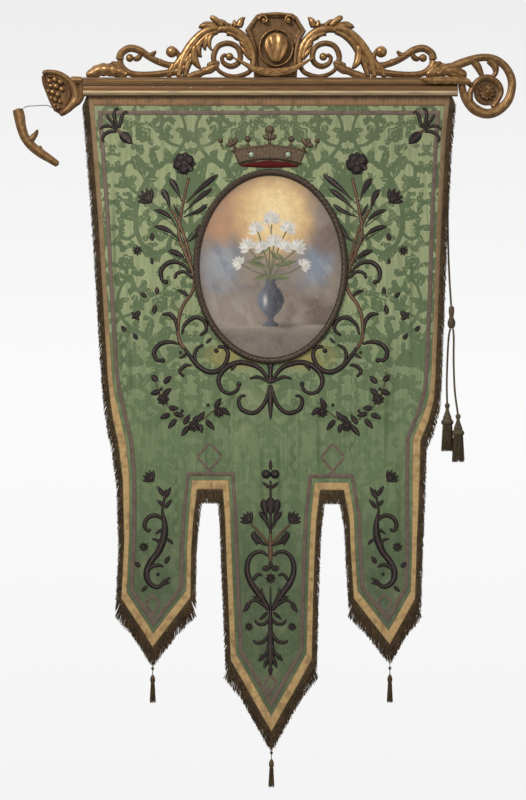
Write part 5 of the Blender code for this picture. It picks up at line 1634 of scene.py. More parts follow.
# Painted flowers: the stems, then petals and leaves as base, tip, half width and tint
LILY_STEMS = (
    ((0, -618), (-4, -560), (-2, -500), (4, -440)), ((-4, -615), (-34, -560), (-66, -520)),
    ((4, -615), (38, -556), (78, -524)), ((-2, -590), (-22, -520), (-40, -462)),
    ((3, -590), (30, -500), (50, -462)),
    ((0, -600), (8, -540), (10, -500)), ((-2, -604), (-50, -590), (-92, -566)),
    ((2, -604), (60, -594), (98, -572)),
)
PETAL_TINTS = (((0.42, 0.40, 0.35), (0.84, 0.81, 0.74)), ((0.07, 0.085, 0.04), (0.20, 0.22, 0.09)))
LILY_LEAVES = (
    (-4, -600, -58, -616, 9, 1), (4, -604, 66, -612, 9, 1), (-8, -576, -84, -556, 10, 1),
    (8, -570, 92, -554, 10, 1),
    (-16, -540, -74, -560, 8, 1), (22, -530, 70, -584, 8, 1), (-2, -520, 34, -560, 8, 1),
    (6, -500, -40, -540, 8, 1),
)
LILY_HEADS = (               # x, z, length of a petal, lean in degrees
    (4, -432, 46, 4), (-68, -516, 44, 34), (80, -520, 44, -36), (-42, -462, 42, 20), (52, -460, 42, -22),
    (10, -506, 46, -6), (-94, -566, 36, 60), (100, -572, 36, -62), (-26, -520, 38, 26), (42, -518, 38, -30),
)
HEAD_FAN = (-78, -46, 46, 78, -24, 24, 0)
VASE_HEIGHTS = (-765, -757, -747, -735, -712, -684, -655, -635, -622, -612)
VASE_HALF_WIDTHS = (26, 27, 12, 11, 34, 46, 38, 20, 15, 22)


def lily_petals():
    """Leaves first, then each head's petals fanned out from its base, outer ones first."""
    rows = list(LILY_LEAVES)
    for x, z, reach, lean in LILY_HEADS:
        for turn in HEAD_FAN:
            way = math.radians(90 + lean + turn)
            far = reach * (1 - abs(turn) / 330)
            rows.append((x, z, x + far * math.cos(way), z + far * math.sin(way), reach * 0.2, 0))
    return rows


def washed(colour, more, share):
    """A colour with a share of another one over it."""
    share = np.clip(share, 0, 1)[..., None]
    return colour * (1 - share) + np.array(more) * share


def painted_sky(x, z, across, up, cloud, fine):
    """Brown clouds, blue ones at both sides, and a golden glow at the upper middle."""
    colour = np.ones(x.shape)[..., None] * np.array((0.27, 0.215, 0.17))
    colour = washed(colour, (0.20, 0.155, 0.125), smooth(0.5 + cloud * 2.4))
    blue = smooth(1.15 - np.hypot((across + 0.60) / 0.42, (up - 0.02) / 0.34) + cloud * 1.1)
    blue = np.maximum(blue, smooth(1.1 - np.hypot((across - 0.55) / 0.36, (up - 0.02) / 0.36) + cloud * 1.1))
    colour = washed(colour, (0.205, 0.245, 0.305), blue * 0.9)
    streak = smooth(0.4 + fractal(x * 0.9 + z * 0.4, z * 0.35, 34, 4.5) * 2.6)
    colour = washed(colour, (0.46, 0.44, 0.42), blue * streak * 0.38)
    warm = smooth((up - 0.16) * 3.2 + cloud * 1.2) * smooth(0.95 - across * 1.1 + cloud)
    colour = washed(colour, (0.52, 0.31, 0.165), warm * 0.9)
    colour = washed(colour, (0.40, 0.195, 0.105), warm * smooth((-across - 0.2) * 2 + cloud * 2.2) * 0.55)
    glow = 1 - np.hypot((across - 0.06) / 0.66, (up - 0.55) / 0.60)
    colour = washed(colour, (0.66, 0.43, 0.19), smooth(glow * 1.9 + cloud * 0.5))
    colour = washed(colour, (0.86, 0.66, 0.34), smooth((glow - 0.28) * 1.9 + fine * 0.4) * 0.9)
    shade = smooth((across - 0.50) * 3.4 + cloud * 1.8) * smooth((up - 0.05) * 4 + cloud)
    shade = shade * smooth((0.62 - up) * 4)
    return washed(colour, (0.15, 0.095, 0.075), shade * 0.75), streak


def painted_ground(colour, across, up, cloud, fine, streak):
    """Rocks at both sides and the stone ledge at the foot."""
    rock = smooth((-0.22 - up) * 4.5 + cloud * 0.9)
    colour = washed(colour, (0.29, 0.235, 0.19), rock * smooth(-across * 2 + cloud * 2) * 0.8)
    colour = washed(colour, (0.115, 0.08, 0.06), rock * smooth((across - 0.22) * 2.6 + cloud * 1.6) * 0.8)
    colour = washed(colour, (0.42, 0.37, 0.31), rock * streak * smooth(0.6 - across) * 0.35)
    ledge = smooth((-0.60 - up + fine * 0.02) * 40)
    colour = washed(colour, (0.235, 0.19, 0.155), ledge)
    colour = washed(colour, (0.32, 0.27, 0.21), ledge * smooth((up + 0.67) * 30) * 0.8)
    foot = ledge * smooth((-0.67 - up) * 14)
    return washed(colour, (0.13, 0.105, 0.085), foot * np.clip(0.5 + cloud, 0, 1))


def painted_vase(colour, x, z):
    """A round vase on a foot, lit from the left, and its shadow on the ledge."""
    share = smooth((np.interp(z, VASE_HEIGHTS, VASE_HALF_WIDTHS, 0, 0) - abs(x)) / 2.5)
    light = np.clip(0.55 - (x + 14) / 60, 0, 1)
    vase = np.ones(x.shape)[..., None] * np.array((0.035, 0.038, 0.048))
    vase = washed(vase, (0.165, 0.18, 0.215), light)
    vase = washed(vase, (0.60, 0.58, 0.54), np.exp(-((x + 17) / 6) ** 2 - ((z + 682) / 16) ** 2))
    shadow = np.exp(-((x - 48) / 46) ** 2 - ((z + 763) / 9) ** 2)
    colour = washed(colour, (0.06, 0.045, 0.036), shadow * 0.8)
    return washed(colour, vase, share)


def painted_lilies(colour, x, z, fine):
    """Stems, leaves and white petals, one over the other."""
    for rows in LILY_STEMS:
        for (x1, z1), (x2, z2) in zip(rows, rows[1:]):
            far = beside(x, z, x1, z1, x2, z2)[1]
            colour = washed(colour, (0.115, 0.125, 0.055), smooth((3.2 - far) / 2))
    for x1, z1, x2, z2, half, tint in lily_petals():
        _, side, width, _ = flat_leaf(x - x1, z - z1, x2 - x1, z2 - z1, half)
        shade = np.clip(0.5 - side / max(half, 1) * 0.5 + fine * 0.25, 0, 1)[..., None]
        low, high = PETAL_TINTS[tint]
        body = np.array(low) * (1 - shade) + np.array(high) * shade
        colour = washed(colour, body, smooth((width - abs(side)) / 2.2))
    return colour


def painting(x, z):
    """The oval's picture: a golden glow over clouds, a stone ledge and a vase of white lilies."""
    across, up = (x - OVAL_X) / OVAL_HALF_WIDTH, (z - OVAL_Z) / OVAL_HALF_HEIGHT
    cloud = fractal(x, z, 95, 1.5) * 0.5
    fine = fractal(x, z, 26, 7.5) * 0.35
    colour, streak = painted_sky(x, z, across, up, cloud, fine)
    colour = painted_ground(colour, across, up, cloud, fine, streak)
    colour = painted_vase(colour, x, z)
    colour = painted_lilies(colour, x, z, fine)
    edge = smooth((np.hypot(across, up) - 0.80) * 3.4)
    colour = washed(colour, (0.115, 0.085, 0.062), edge * 0.7)
    return np.clip(colour * (1 + fine[..., None] * 0.28), 0.01, 1)


def picture(paint):
    """The oval canvas, slightly domed, with the picture's colours on its points."""
    shape = Shape()
    radii = np.linspace(0, 0.985, CANVAS_RINGS)[:, None]
    turn = turns(CANVAS_TURNS)
    x = OVAL_X + OVAL_HALF_WIDTH * radii * np.cos(turn)
    z = OVAL_Z + OVAL_HALF_HEIGHT * radii * np.sin(turn)
    y = CLOTH_Y - CLOTH_THICK / 2 - 0.4 - 2.0 * (1 - radii ** 2) + 0 * turn
    shape.grid(np.stack([x, y, z], 2)[::-1], np.zeros((*x.shape, 2)), closed=True)
    piece = shape.piece("oval_picture", paint, "painted_canvas", ["oval_canvas"], outwards=False, merge=0.001)
    places = np.empty(len(piece.data.vertices) * 3)
    piece.data.vertices.foreach_get("co", places)
    places = places.reshape(-1, 3) / MM
    colours = np.ones((len(places), 4), np.float32)
    colours[:, :3] = painting(places[:, 0], places[:, 2])
    layer = piece.data.attributes.new("paint", "FLOAT_COLOR", "POINT")
    layer.data.foreach_set("color", colours.ravel())
    return piece


def oval_frame(bronze):
    """Padded roll round the picture, wound with cord, with a bead edge inside it."""
    shape = Shape()
    turn, around = turns(ROLL_STEPS, 1), turns(ROLL_SIDES)
    radius = RIM_WIDTH / 2
    wind = 1 + 0.09 * np.cos(turn[:, None] * ROLL_WINDS + around * 2)
    out = RIM_WIDTH / 2 - 1 + radius * wind * np.cos(around)
    x = OVAL_X + (OVAL_HALF_WIDTH - RIM_WIDTH / 2 + out) * np.cos(turn)[:, None]
    z = OVAL_Z + (OVAL_HALF_HEIGHT - RIM_WIDTH / 2 + out) * np.sin(turn)[:, None]
    y = CLOTH_Y - CLOTH_THICK / 2 - RIM_DEPTH / 2 + RIM_DEPTH / 2 * wind * np.sin(around)
    shape.grid(np.stack([x, y, z], 2), uv_grid(turn * 270, around / 2 / math.pi), closed=True)
    for angle in turns(PICTURE_BEADS):
        px = OVAL_X + (OVAL_HALF_WIDTH - BEAD_INSET) * math.cos(angle)
        pz = OVAL_Z + (OVAL_HALF_HEIGHT - BEAD_INSET) * math.sin(angle)
        knob(shape, px, pz, 3.1, 3.4, level(CLOTH_Y - 1.6), rings=4, sides=8)
    return shape.piece("oval_roll", bronze, "gold_thread", ["oval_rim"], merge=0.001)


def crown(metal, glass, velvet):
    """Sewn-on crown: fluted band, bead rows, balls and trefoils, glass stones, velvet under it."""
    shape, stones, lens = Shape(), Shape(), Shape()
    band = [*CROWN_FOOT, *reversed(CROWN_TOP)]

    def front(x, z, inset):
        flute = 1.1 * np.cos(x / 11 * 2 * math.pi) * smooth(inset / 7)
        return CLOTH_Y - 2 - (CROWN_THICK - 2) * smooth(inset / 5) + flute

    def pad(x, z, inset):
        return CLOTH_Y - 1.2 - 3 * smooth(inset / 9)

    ground, face = level(CROWN_BACK), level(CROWN_FACE)
    plate(shape, band, 3.0, front, ground)
    for rows, drop in ((CROWN_TOP, -6), (CROWN_FOOT, 6)):
        line = spline([(x, z + drop, 3) for x, z in rows], 7.4)
        for x, z, _ in line:
            knob(shape, x, z, 3.2, 3.2, face, rings=4, sides=10)
    for x, z, radius in CROWN_BALLS:
        knob(shape, x, z, radius, min(radius, 9), ground, rings=7, sides=20)
        stalk = np.linspace((x * 0.96, -190, 4.5), (x, z - radius * 0.6, 3.2), 6)
        raised(shape, stalk, 5, ground)
    for x, z, reach, lean in CROWN_FLEURONS:
        for turn in (-62, 0, 62):
            way = math.radians(90 + lean + turn)
            tip = (x + math.cos(way) * reach, z + math.sin(way) * reach)
            leaf(shape, (x, z - 3), tip, reach * 0.34, 0, 6, 1.5, ground, full=1.1)
        knob(shape, x, z, 5, 5, ground, 3.5)
        base = (x + math.sin(math.radians(lean)) * 18, z - math.cos(math.radians(lean)) * 22)
        raised(shape, np.linspace((*base, 8), (x, z, 4), 6), 5, ground)
    for x, z, radius in CROWN_STONES:
        knob(stones, x, z, radius, 6, face, rings=7, sides=20)
        for a in turns(14):
            px, pz = x + math.cos(a) * (radius + 2), z + math.sin(a) * (radius + 2)
            knob(shape, px, pz, 2, 2.4, face, rings=4, sides=8)
    plate(lens, VELVET, 4.5, pad, ground)
    return [
        shape.piece("crown_metal", metal, "gold_thread", ["crown"], merge=0.001),
        stones.piece("crown_stones", glass, "gold_thread", merge=0.001),
        lens.piece("velvet_under_crown", velvet, "red_velvet", ["crown_velvet"], merge=0.001),
    ]


def flute(shape, route, middle=CREST_Y, deep=CREST_HALF_DEPTH, scallops=0, columns=20, veins=3):
    """A carved stroke, closed all round: a ridge along its middle, hollows beside it, leaf edges if asked."""
    half = route[:, 2].copy()
    gone = walked(route)
    share = gone / gone[-1]
    if scallops:
        half *= 1 + 0.17 * np.abs(np.sin(share * scallops * math.pi)) - 0.08
    ends = np.clip(np.minimum(gone, gone[-1] - gone) / 5, 0, 1)
    half *= np.sqrt(1 - (1 - ends) ** 2) * 0.9 + 0.1
    turn = turns(columns)
    across, forward = np.cos(turn), np.sin(turn)
    depth = np.minimum(deep, 4 + half * 0.9) * (np.sqrt(1 - (1 - ends) ** 2) * 0.85 + 0.15)
    if veins:
        grooves = np.where(forward < 0, np.cos(across * math.pi * veins) * 0.5 + 0.5, 0.6)
    else:
        grooves = np.where(forward < 0, 1 - np.abs(across) ** 2.2, 0.6)
    if scallops:
        chop = np.sin((share[:, None] * scallops + np.abs(across) * 0.55) * 2 * math.pi)
    else:
        chop = np.zeros((len(route), 1))
    swell = 0.80 + 0.20 * grooves[None] + 0.09 * chop * (np.abs(across) > 0.15)
    x, z = across_route(route, half, across)
    y = middle + depth[:, None] * np.sign(forward) * np.abs(forward) ** 0.75 * swell
    # the across UV marks the grooves and the back, where the gilding paints shade
    hollow = np.where(forward <= 0.01, (1 - grooves) * 0.8 * np.sign(across + 1e-6), 1)
    shape.grid(np.stack([x, y, z], 2), uv_grid(gone, 0.5 + 0.5 * hollow), closed=True)
    for row, flip in ((0, False), (len(route) - 1, True)):
        first = len(shape.points) - len(route) * columns + row * columns
        loop = [first + j for j in range(columns)]
        shape.faces.append(loop[::-1] if flip else loop)
        shape.uvs += [(0, 0.9)] * columns


def ball(shape, x, y, z, radius, rings=11, sides=18):
    """A whole round bead."""
    a = np.linspace(0, math.pi, rings)
    turn = turns(sides)
    px = x + radius * np.sin(a)[:, None] * np.cos(turn)
    pz = z + radius * np.sin(a)[:, None] * np.sin(turn)
    py = y - radius * np.cos(a)[:, None] + 0 * turn
    uv = uv_grid(np.full(rings, 0.5), turn * radius)[..., ::-1]
    shape.grid(np.stack([px, py, pz], 2), uv, closed=True)


def carved_group(name, node, strokes, gold, scallops=None, more=None, lobes=()):
    """One carved piece of several strokes, some of them lobes with a plain rounded section."""
    shape = Shape()
    for i, (stroke, rows) in enumerate(strokes.items()):
        lobe = stroke in lobes
        flute(
            shape, spline(rows, 4.5), CREST_Y - (i // 2 % 3 - 1) * 2.2 * lobe,
            scallops=(scallops or {}).get(stroke, 0), veins=0 if lobe else 2,
        )
    if more:
        more(shape)
    return shape.piece(name, gold, "gilt_wood", [node], merge=0.001, sharp=60)


def cresting_cuffs(shape):
    """Balls and cuffs, each on both sides of the middle."""
    for x, z, radius in CREST_BALLS:
        ball(shape, x, CREST_Y, z, radius)
        ball(shape, 2 * CREST_MIDDLE - x, CREST_Y, z, radius)
    for x, z, reach, turn in CUFFS:
        for side in (1, -1):
            way = math.radians(turn)
            line = [
                (x - math.sin(way) * reach, z + math.cos(way) * reach, 7.5), (x, z, 11),
                (x + math.sin(way) * reach, z - math.cos(way) * reach, 7.5),
            ]
            if side < 0:
                line = [(2 * CREST_MIDDLE - a, b, c) for a, b, c in line]
            flute(shape, spline(line, 4), deep=CREST_HALF_DEPTH * 1.12)


def cartouche(shape):
    """The cartouche with its raised rim, the two whirls at its top and the rail between them."""
    def front(x, z, inset):
        rim = smooth(inset / 4) * (1 - smooth((inset - 13) / 5))
        return CARTOUCHE_BACK + 8 - 22 * rim - 13 * smooth((inset - 13) / 5)

    plate(shape, anticlockwise(CARTOUCHE), 3.6, front, level(CARTOUCHE_BACK + 10))
    for side in (1, -1):
        whirl = []
        for k in range(11):
            reach, angle = 17 - 1.35 * k, k * 0.62
            whirl.append((
                BOSS_X + side * (40 + reach * math.cos(angle)), 214 + reach * math.sin(angle), 4.6 - 0.18 * k,
            ))
        flute(shape, spline(whirl, 3), CARTOUCHE_FRONT + 2, 6, veins=0)
        ball(shape, BOSS_X + side * 40, CARTOUCHE_FRONT - 1, 214, 6)
    rail = ((-40, 231, 4), (BOSS_X, 234, 6), (76, 231, 4))
    flute(shape, spline(rail, 5), CARTOUCHE_FRONT + 4, 6, veins=0)


def shell_boss(shape):
    """The fluted shell boss in its ring."""
    half = BOSS_HEIGHT / 2
    ring = [
        (BOSS_X + 53 * math.sin(t), BOSS_FOOT + half + 58 * math.cos(t), 3.4) for t in turns(24, 1)
    ]
    flute(shape, spline(ring, 4), CARTOUCHE_FRONT + 5, 5, veins=0)
    outline = [
        (BOSS_X + 38 * math.sin(t) * (1 - 0.12 * math.cos(t)), BOSS_FOOT + half - half * math.cos(t))
        for t in turns(36)
    ]

    def shell(x, z, inset):
        fan = np.arctan2(x - BOSS_X, z - BOSS_FOOT + 16)
        ribs = np.cos(fan * BOSS_FLUTES * 2) * smooth(inset / 9) * 2.2
        return CARTOUCHE_FRONT - 1 - 12 * np.sqrt(np.clip(inset / 30, 0, 1)) + ribs

    plate(shape, outline, 3.2, shell, level(CARTOUCHE_FRONT + 8), refine=3)


def cresting_extras(shape):
    """All of the cresting that isn't a stroke of its own."""
    cresting_cuffs(shape)
    cartouche(shape)
    shell_boss(shape)


def anticlockwise(loop):
    """A closed loop of points, turned round if it runs clockwise as the front is seen."""
    area = sum(a[0] * b[1] - b[0] * a[1] for a, b in zip(loop, [*loop[1:], loop[0]]))
    return loop if area > 0 else loop[::-1]


def cresting(gold):
    """The carved cresting: the strokes of its left half, mirrored in the middle, and what they carry."""
    strokes = {}
    for name, rows in {**CREST_STROKES, **ACANTHUS}.items():
        if name in CREST_STROKES:
            rows = [(x, z, half * SCROLL_FULLNESS) for x, z, half in rows]
        strokes[name] = rows
        strokes["right " + name] = [(2 * CREST_MIDDLE - x, z, half) for x, z, half in rows]
    scallops = {**LEAFY, **{"right " + name: count for name, count in LEAFY.items()}}
    lobes = [side + name for name in ACANTHUS for side in ("", "right ")]
    return carved_group("carved_cresting", "cresting", strokes, gold, scallops, cresting_extras, lobes)


def left_end(gold):
    """What is left of the scroll at the left end, with the beads behind its broken face."""
    def front(x, z, inset):
        return CREST_Y + 4 - 5 * smooth(inset / 6)

    def beads(shape):
        plate(shape, anticlockwise(LEFT_END_BODY), 5, front, level(CREST_Y + 14))
        for x, z, radius in LEFT_BEADS:
            ball(shape, x, BEAD_Y, z, radius)

    return carved_group("carved_left_end", "left_end_scroll", LEFT_END_STROKES, gold, more=beads)


def fragment(gold, iron):
    """The broken scroll that hangs by a wire."""
    wire = Shape()
    tube(wire, spline_in_space(WIRE, 4), WIRE_RADIUS, 8)
    return [
        carved_group("carved_fragment", "scroll_fragment", FRAGMENT_STROKES, gold),
        wire.piece("hanging_wire", iron, "iron_wire", ["fragment_wire"], merge=0.001),
    ]


def tube(shape, path, radius, sides, lobes=0, twist=1.0):
    """A closed round or lobed cord along points."""
    way = np.gradient(path, axis=0)
    way /= np.linalg.norm(way, axis=1)[:, None]
    side = np.cross(way, (0.0, 1.0, 0.0))
    side /= np.linalg.norm(side, axis=1)[:, None]
    up = np.cross(way, side)
    along = walked_in_space(path)
    turn = turns(sides)
    spin = along[:, None] / twist * 2 * math.pi if lobes else np.zeros((len(path), 1))
    reach = radius * (1 + (0.13 * np.cos(lobes * turn) - 0.05 if lobes else 0 * turn))
    points = (
        path[:, None] + side[:, None] * (reach * np.cos(turn + spin))[..., None]
        + up[:, None] * (reach * np.sin(turn + spin))[..., None]
    )
    shape.grid(points, uv_grid(along, turn / 2 / math.pi), closed=True)
    first = len(shape.points) - len(path) * sides
    shape.faces.append([first + j for j in reversed(range(sides))])
    shape.faces.append([len(shape.points) - sides + j for j in range(sides)])
    shape.uvs += [(0, 0.5)] * (2 * sides)


def garland(gold):
    """Swag of small leaves and berries hung on the cartouche's foot."""
    shape = Shape()
    route = spline(GARLAND, 6.5)
    core = route.copy()
    core[:, 2] *= 0.9
    flute(shape, core, GARLAND_Y + 4, 7)
    ground = level(GARLAND_Y + 7)
    rng = random.Random(GARLAND_SEED)
    for (x, z, half), way in zip(route, ways(route)):
        for side in (1, -1):
            swing = math.atan2(way[1], way[0]) + side * (0.9 + rng.uniform(-0.2, 0.2))
            tip = (x + math.cos(swing) * half * 1.1, z + math.sin(swing) * half * 1.1)
            leaf(shape, (x, z), tip, max(half * 0.36, 2), 0, 5, 3.5 + rng.uniform(0, 1.5), ground, rows=7)
        berry = half * rng.uniform(-0.4, 0.4)
        ball(shape, x, GARLAND_Y - 1, z + berry, max(half * 0.26, 1.8), 7, 10)
    return shape.piece("carved_garland", gold, "gilt_wood", ["garland"], merge=0.001)


def right_end(shape):
    """Rosette of the right end, on its disc, and the leaf along the bar."""
    def front(x, z, inset):
        return CREST_Y - 2 + 5 * smooth(inset / 8)

    x, z, radius = RIGHT_ROSETTE
    disc = [(x + ROSETTE_DISC * math.cos(a), z + ROSETTE_DISC * math.sin(a)) for a in turns(40)]
    plate(shape, disc, 4.5, front, level(CREST_Y + 12))
    flute(shape, spline(BAR_LEAF, 4.5), -55, 9, scallops=5, veins=2)
    for count, reach, lift in ((10, 1.0, 4), (7, 0.62, 9)):
        for a in turns(count) + lift:
            tip = (x + math.cos(a) * radius * reach, z + math.sin(a) * radius * reach)
            leaf(shape, (x, z), tip, radius * reach * 0.3, 0, 6, lift, level(CREST_Y + 2), full=1.2)
    ball(shape, x, CREST_Y - 12, z, 6)


def bar(gold):
    """Moulding of the crossbar, with the slight unevenness of handwork, and its cut ends."""
    shape = Shape()
    stations = np.linspace(-BAR_LENGTH / 2, BAR_LENGTH / 2, round(BAR_LENGTH / BAR_STEP) + 1)
    profile = np.array(BAR_FRONT, float)
    near = walked(profile)
    wobble = np.array([[noise.noise(Vector((x / 55, y / 9, z / 9))) for y, z in profile] for x in stations])
    depth = profile[None, :, 0] + np.where(profile[:, 0] < -30, 0.5, 0) * wobble
    height = profile[None, :, 1] + 0 * wobble
    x = np.repeat(stations[:, None], len(profile), 1)
    shape.grid(np.stack([x, depth, height], 2), uv_grid(stations, near / near[-1]), closed=True)
    count = len(profile)
    last = len(shape.points) - count
    shape.faces += [list(range(count)), [last + j for j in reversed(range(count))]]
    shape.uvs += [(0, 0.5)] * (2 * count)
    return shape.piece("moulded_crossbar", gold, "gilt_wood", ["crossbar"], merge=0.001, sharp=50)


def turned(shape, profile, x, y, z, sides=24, bind=0.0):
    """A turned or bound head; bind winds a thread round it."""
    fine = []
    for (r1, d1), (r2, d2) in zip(profile, profile[1:]):
        parts = max(2, math.ceil(math.hypot(r2 - r1, d2 - d1) / 1.5))
        fine += [(r1 + (r2 - r1) * i / parts, d1 + (d2 - d1) * i / parts) for i in range(parts)]
    fine = np.array([(0.05, fine[0][1]), *fine, profile[-1], (0.05, profile[-1][1])])
    turn = turns(sides)
    wind = 1 + bind * np.cos(turn * 8 + fine[:, 1:] * 1.3) * (fine[:, :1] > 2)
    radius = fine[:, :1] * wind
    points = np.stack([x + radius * np.cos(turn), y + radius * np.sin(turn), z + fine[:, 1:] + 0 * turn], 2)
    shape.grid(points, uv_grid(-fine[:, 1], turn / 2 / math.pi), closed=True)


def skirt(name, x, y, z, ring, drop, top, thick, count, tree, material, slot, replaces, head, seed):
    """The threads of a tassel under its head, in rings so that none shows through."""
    line, hang = [], []
    turns = 4
    for i in range(count):
        a = i / count * 2 * math.pi * turns
        r = ring * (0.45 + 0.55 * (i / count))
        line.append((x + r * math.cos(a), y + r * math.sin(a), z - top))
        hang.append((math.cos(a) * 0.05, math.sin(a) * 0.05, -1))
    length = sum(math.dist(a, b) for a, b in zip(line, line[1:]))
    return threads(
        name, line, hang, False, tree, material, slot, replaces, [head],
        Pitch=length / count * MM, Length=(drop - top) * MM, Thickness=thick * MM, Spread=0.016,
        Waver=0.0005, Seed=seed,
    )


def tie(cord_yarn, tree):
    """The corded tie at the right: a twisted cord over the bar's end, its knot, and two tassels."""
    made = {}
    for name, points in CORDS:
        shape = Shape()
        path = spline_in_space(points, 3.0)
        tube(shape, path, CORD_RADIUS, 15, 3, CORD_TWIST)
        made[name] = (shape.piece(name + "_cord", cord_yarn, "brown_cord", [name], merge=0.001), path)
    shape = Shape()
    turned(shape, KNOT_PROFILE, KNOT_X, CORD_Y, 0, bind=0.08)
    knot = shape.piece("tie_knot_bound", cord_yarn, "brown_cord", ["tie_knot"], merge=0.001)
    tassels = []
    for seed, (name, x, y, z) in enumerate(TIE_TASSELS):
        head = Shape()
        turned(head, TIE_HEAD, x, y, z, bind=0.05)
        ring, drop, thick, count = TIE_SKIRT
        tassels.append(skirt(
            name + "_threads", x, y, z, ring, drop, 60, thick, count, tree, cord_yarn, "brown_cord",
            [name], head, 20 + seed,
        ))
    return made, knot, tassels


def studio():
    """Level camera, pale floor, a near white surround and soft lights."""
    scene = bpy.context.scene
    data = bpy.data.cameras.new("camera")
    data.sensor_fit = "VERTICAL"
    data.sensor_height = SENSOR
    data.lens = SENSOR * CAMERA_DISTANCE / FIELD_HEIGHT
    camera = bpy.data.objects.new("camera", data)
    camera.location = (CAMERA_AIM[0], CAMERA_AIM[1] - CAMERA_DISTANCE, CAMERA_AIM[2])
    camera.rotation_euler = (math.radians(90), 0, 0)
    scene.collection.objects.link(camera)
    scene.camera = camera
    scene.view_settings.view_transform = "Standard"
    world = bpy.data.worlds.new("studio")
    scene.world = world
    world.use_nodes = True
    world.node_tree.nodes.clear()
    tree = Tree(world.node_tree)
    coords = tree.value("ShaderNodeTexCoord", output=0)
    parts = tree.node("ShaderNodeSeparateXYZ", None, {0: coords})
    height = Value(tree, parts.outputs[2])
    shown = tree.value("ShaderNodeValToRGB", {"stops": (
        (0.0, (0.90, 0.90, 0.90)), (0.5, (0.965, 0.965, 0.962)), (1.0, (0.855, 0.855, 0.85)),
    )}, {0: height * 2.8 + 0.5})
    ray = tree.value("ShaderNodeLightPath")
    seen = tree.value("ShaderNodeBackground", None, {"Color": shown, "Strength": 1.0})
    soft = tree.value("ShaderNodeValToRGB", {"stops": (
        (0.0, (0.26, 0.26, 0.27)), (0.5, (0.42, 0.415, 0.41)), (1.0, (0.95, 0.94, 0.92)),
    )}, {0: height * 0.5 + 0.5})
    light = tree.value("ShaderNodeBackground", None, {"Color": soft, "Strength": 0.95})
    both = tree.node("ShaderNodeMixShader", None, {0: ray})
    world.node_tree.links.new(light.socket, both.inputs[1])
    world.node_tree.links.new(seen.socket, both.inputs[2])
    out = tree.node("ShaderNodeOutputWorld")
    world.node_tree.links.new(both.outputs[0], out.inputs[0])
    for name, place, size, power, colour in (
        ("key", (-2.2, -3.2, 2.4), 1.2, 165, (1.0, 0.975, 0.94)),
        ("fill", (2.8, -4.0, -0.8), 2.2, 34, (0.96, 0.98, 1.0)),
        ("rim", (0.6, 2.6, 1.2), 1.6, 30, (1.0, 1.0, 1.0)),
    ):
        lamp = bpy.data.lights.new(name, "AREA")
        lamp.energy, lamp.size, lamp.color = power, size, colour
        holder = bpy.data.objects.new(name, lamp)
        holder.location = place
        aim = Vector((0, 0, -1.0)) - Vector(place)
        holder.rotation_euler = aim.to_track_quat("-Z", "Y").to_euler()
        scene.collection.objects.link(holder)
    mesh = bpy.data.meshes.new("floor")
    corners = ((-1.5, -0.35, -2.37), (1.5, -0.35, -2.37), (1.5, 0.35, -2.37), (-1.5, 0.35, -2.37))
    mesh.from_pydata(corners, [], [(0, 1, 2, 3)])
    mesh.materials.append(plain("pale floor", (0.8, 0.8, 0.79), 0.8))
    floor = bpy.data.objects.new("floor", mesh)
    scene.collection.objects.link(floor)


studio()
cord_yarn = yarn("brown silk cord", (0.040, 0.029, 0.018), (0.20, 0.145, 0.082), 0.62, 0.1, 2.6)
tree = thread_tree()
cords, knot, tie_tassels = tie(cord_yarn, tree)

gold = gilding()
bar(gilding("gilt mouldings", BAR_SHADED_BANDS))
cresting(gold)
left_end(gold)
fragment(gold, plain("rusty wire", (0.06, 0.035, 0.022), 0.7, 0.6))
garland(gold)
right = {
    name: [(x, z, half * RIGHT_END_FULLNESS) for x, z, half in rows]
    for name, rows in RIGHT_END_STROKES.items()
}
carved_group("carved_right_end", "cresting", right, gold, more=right_end)

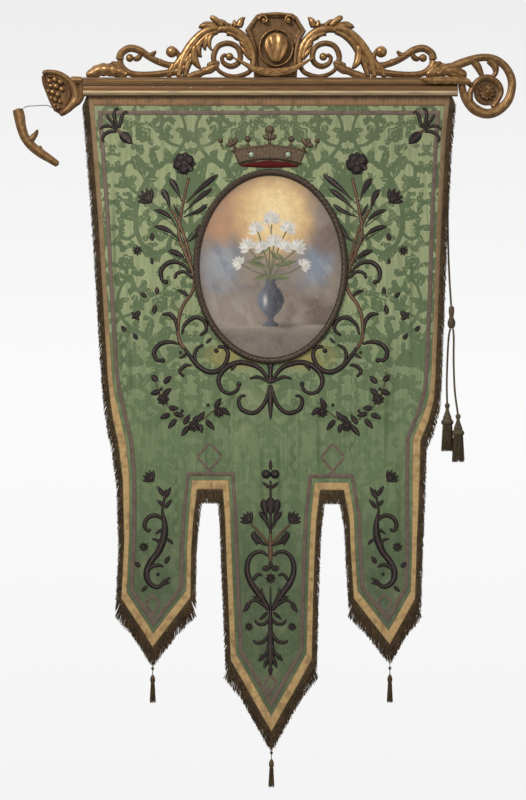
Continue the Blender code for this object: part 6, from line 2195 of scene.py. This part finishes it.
edge, loops, corner = edge_loops()
panel = cloth(damask_silk(), edge)
narrow = woven("tarnished braid", (0.125, 0.090, 0.068), (0.195, 0.145, 0.11), (0.07, 0.052, 0.038), 4, 6)
on_cloth = edge_trims(
    woven("gold galloon", (0.40, 0.255, 0.105), (0.62, 0.43, 0.20), (0.15, 0.088, 0.04), 5, 9,
          faded=(0.215, 0.145, 0.085)),
    woven("heading silk", (0.20, 0.108, 0.052), (0.32, 0.195, 0.098), (0.10, 0.055, 0.03), 4.2, 2),
    narrow, edge, loops, corner,
)
dark = metal_thread("dark metal thread", (0.022, 0.017, 0.018), (0.082, 0.057, 0.047), 0.5)
copper = metal_thread("copper thread", (0.085, 0.048, 0.03), (0.20, 0.12, 0.068), 0.7)
worn = metal_thread("worn metal thread", (0.050, 0.036, 0.030), (0.130, 0.092, 0.070), 0.6)
on_cloth += embroidery(dark, copper, worn, narrow)
on_cloth += crown(
    metal_thread("crown metal", (0.060, 0.040, 0.028), (0.185, 0.128, 0.080), 0.95, 2.4, 0.42, 0.4),
    plain("green glass", (0.30, 0.36, 0.24), 0.12, 0.0, 6, 0.8, **{"Coat Weight": 0.6}),
    plain("red velvet", (0.105, 0.013, 0.014), 0.9, 0.0, 5, 0.25, **{"Specular IOR Level": 0.1}),
)
on_cloth.append(picture(painted_canvas()))
bronze = metal_thread("bronze roll", (0.04, 0.028, 0.02), (0.125, 0.09, 0.064), 0.9, 2.4, 0.45, 0.4)
on_cloth.append(oval_frame(bronze))
bullion = yarn("tarnished bullion", (0.036, 0.024, 0.015), (0.20, 0.13, 0.062), 0.55, 0.2, 2.4)
for seed, (name, run, pitch, length, lean) in enumerate(FRINGES):
    on_cloth.append(fringe(name, run, pitch, length, lean, tree, bullion, seed))
for seed, (name, x, z, thread_length) in enumerate(HEM_TASSELS):
    head = Shape()
    turned(head, ((1.2, thread_length), *HEM_HEAD), x, CLOTH_Y, z - thread_length, 14, 0.04)
    ring, drop, thick, count = HEM_SKIRT
    on_cloth.append(skirt(
        name + "_threads", x, CLOTH_Y, z - thread_length, ring, drop, 53, thick, count, tree, bullion,
        "bullion_fringe", [name], head, 40 + seed,
    ))
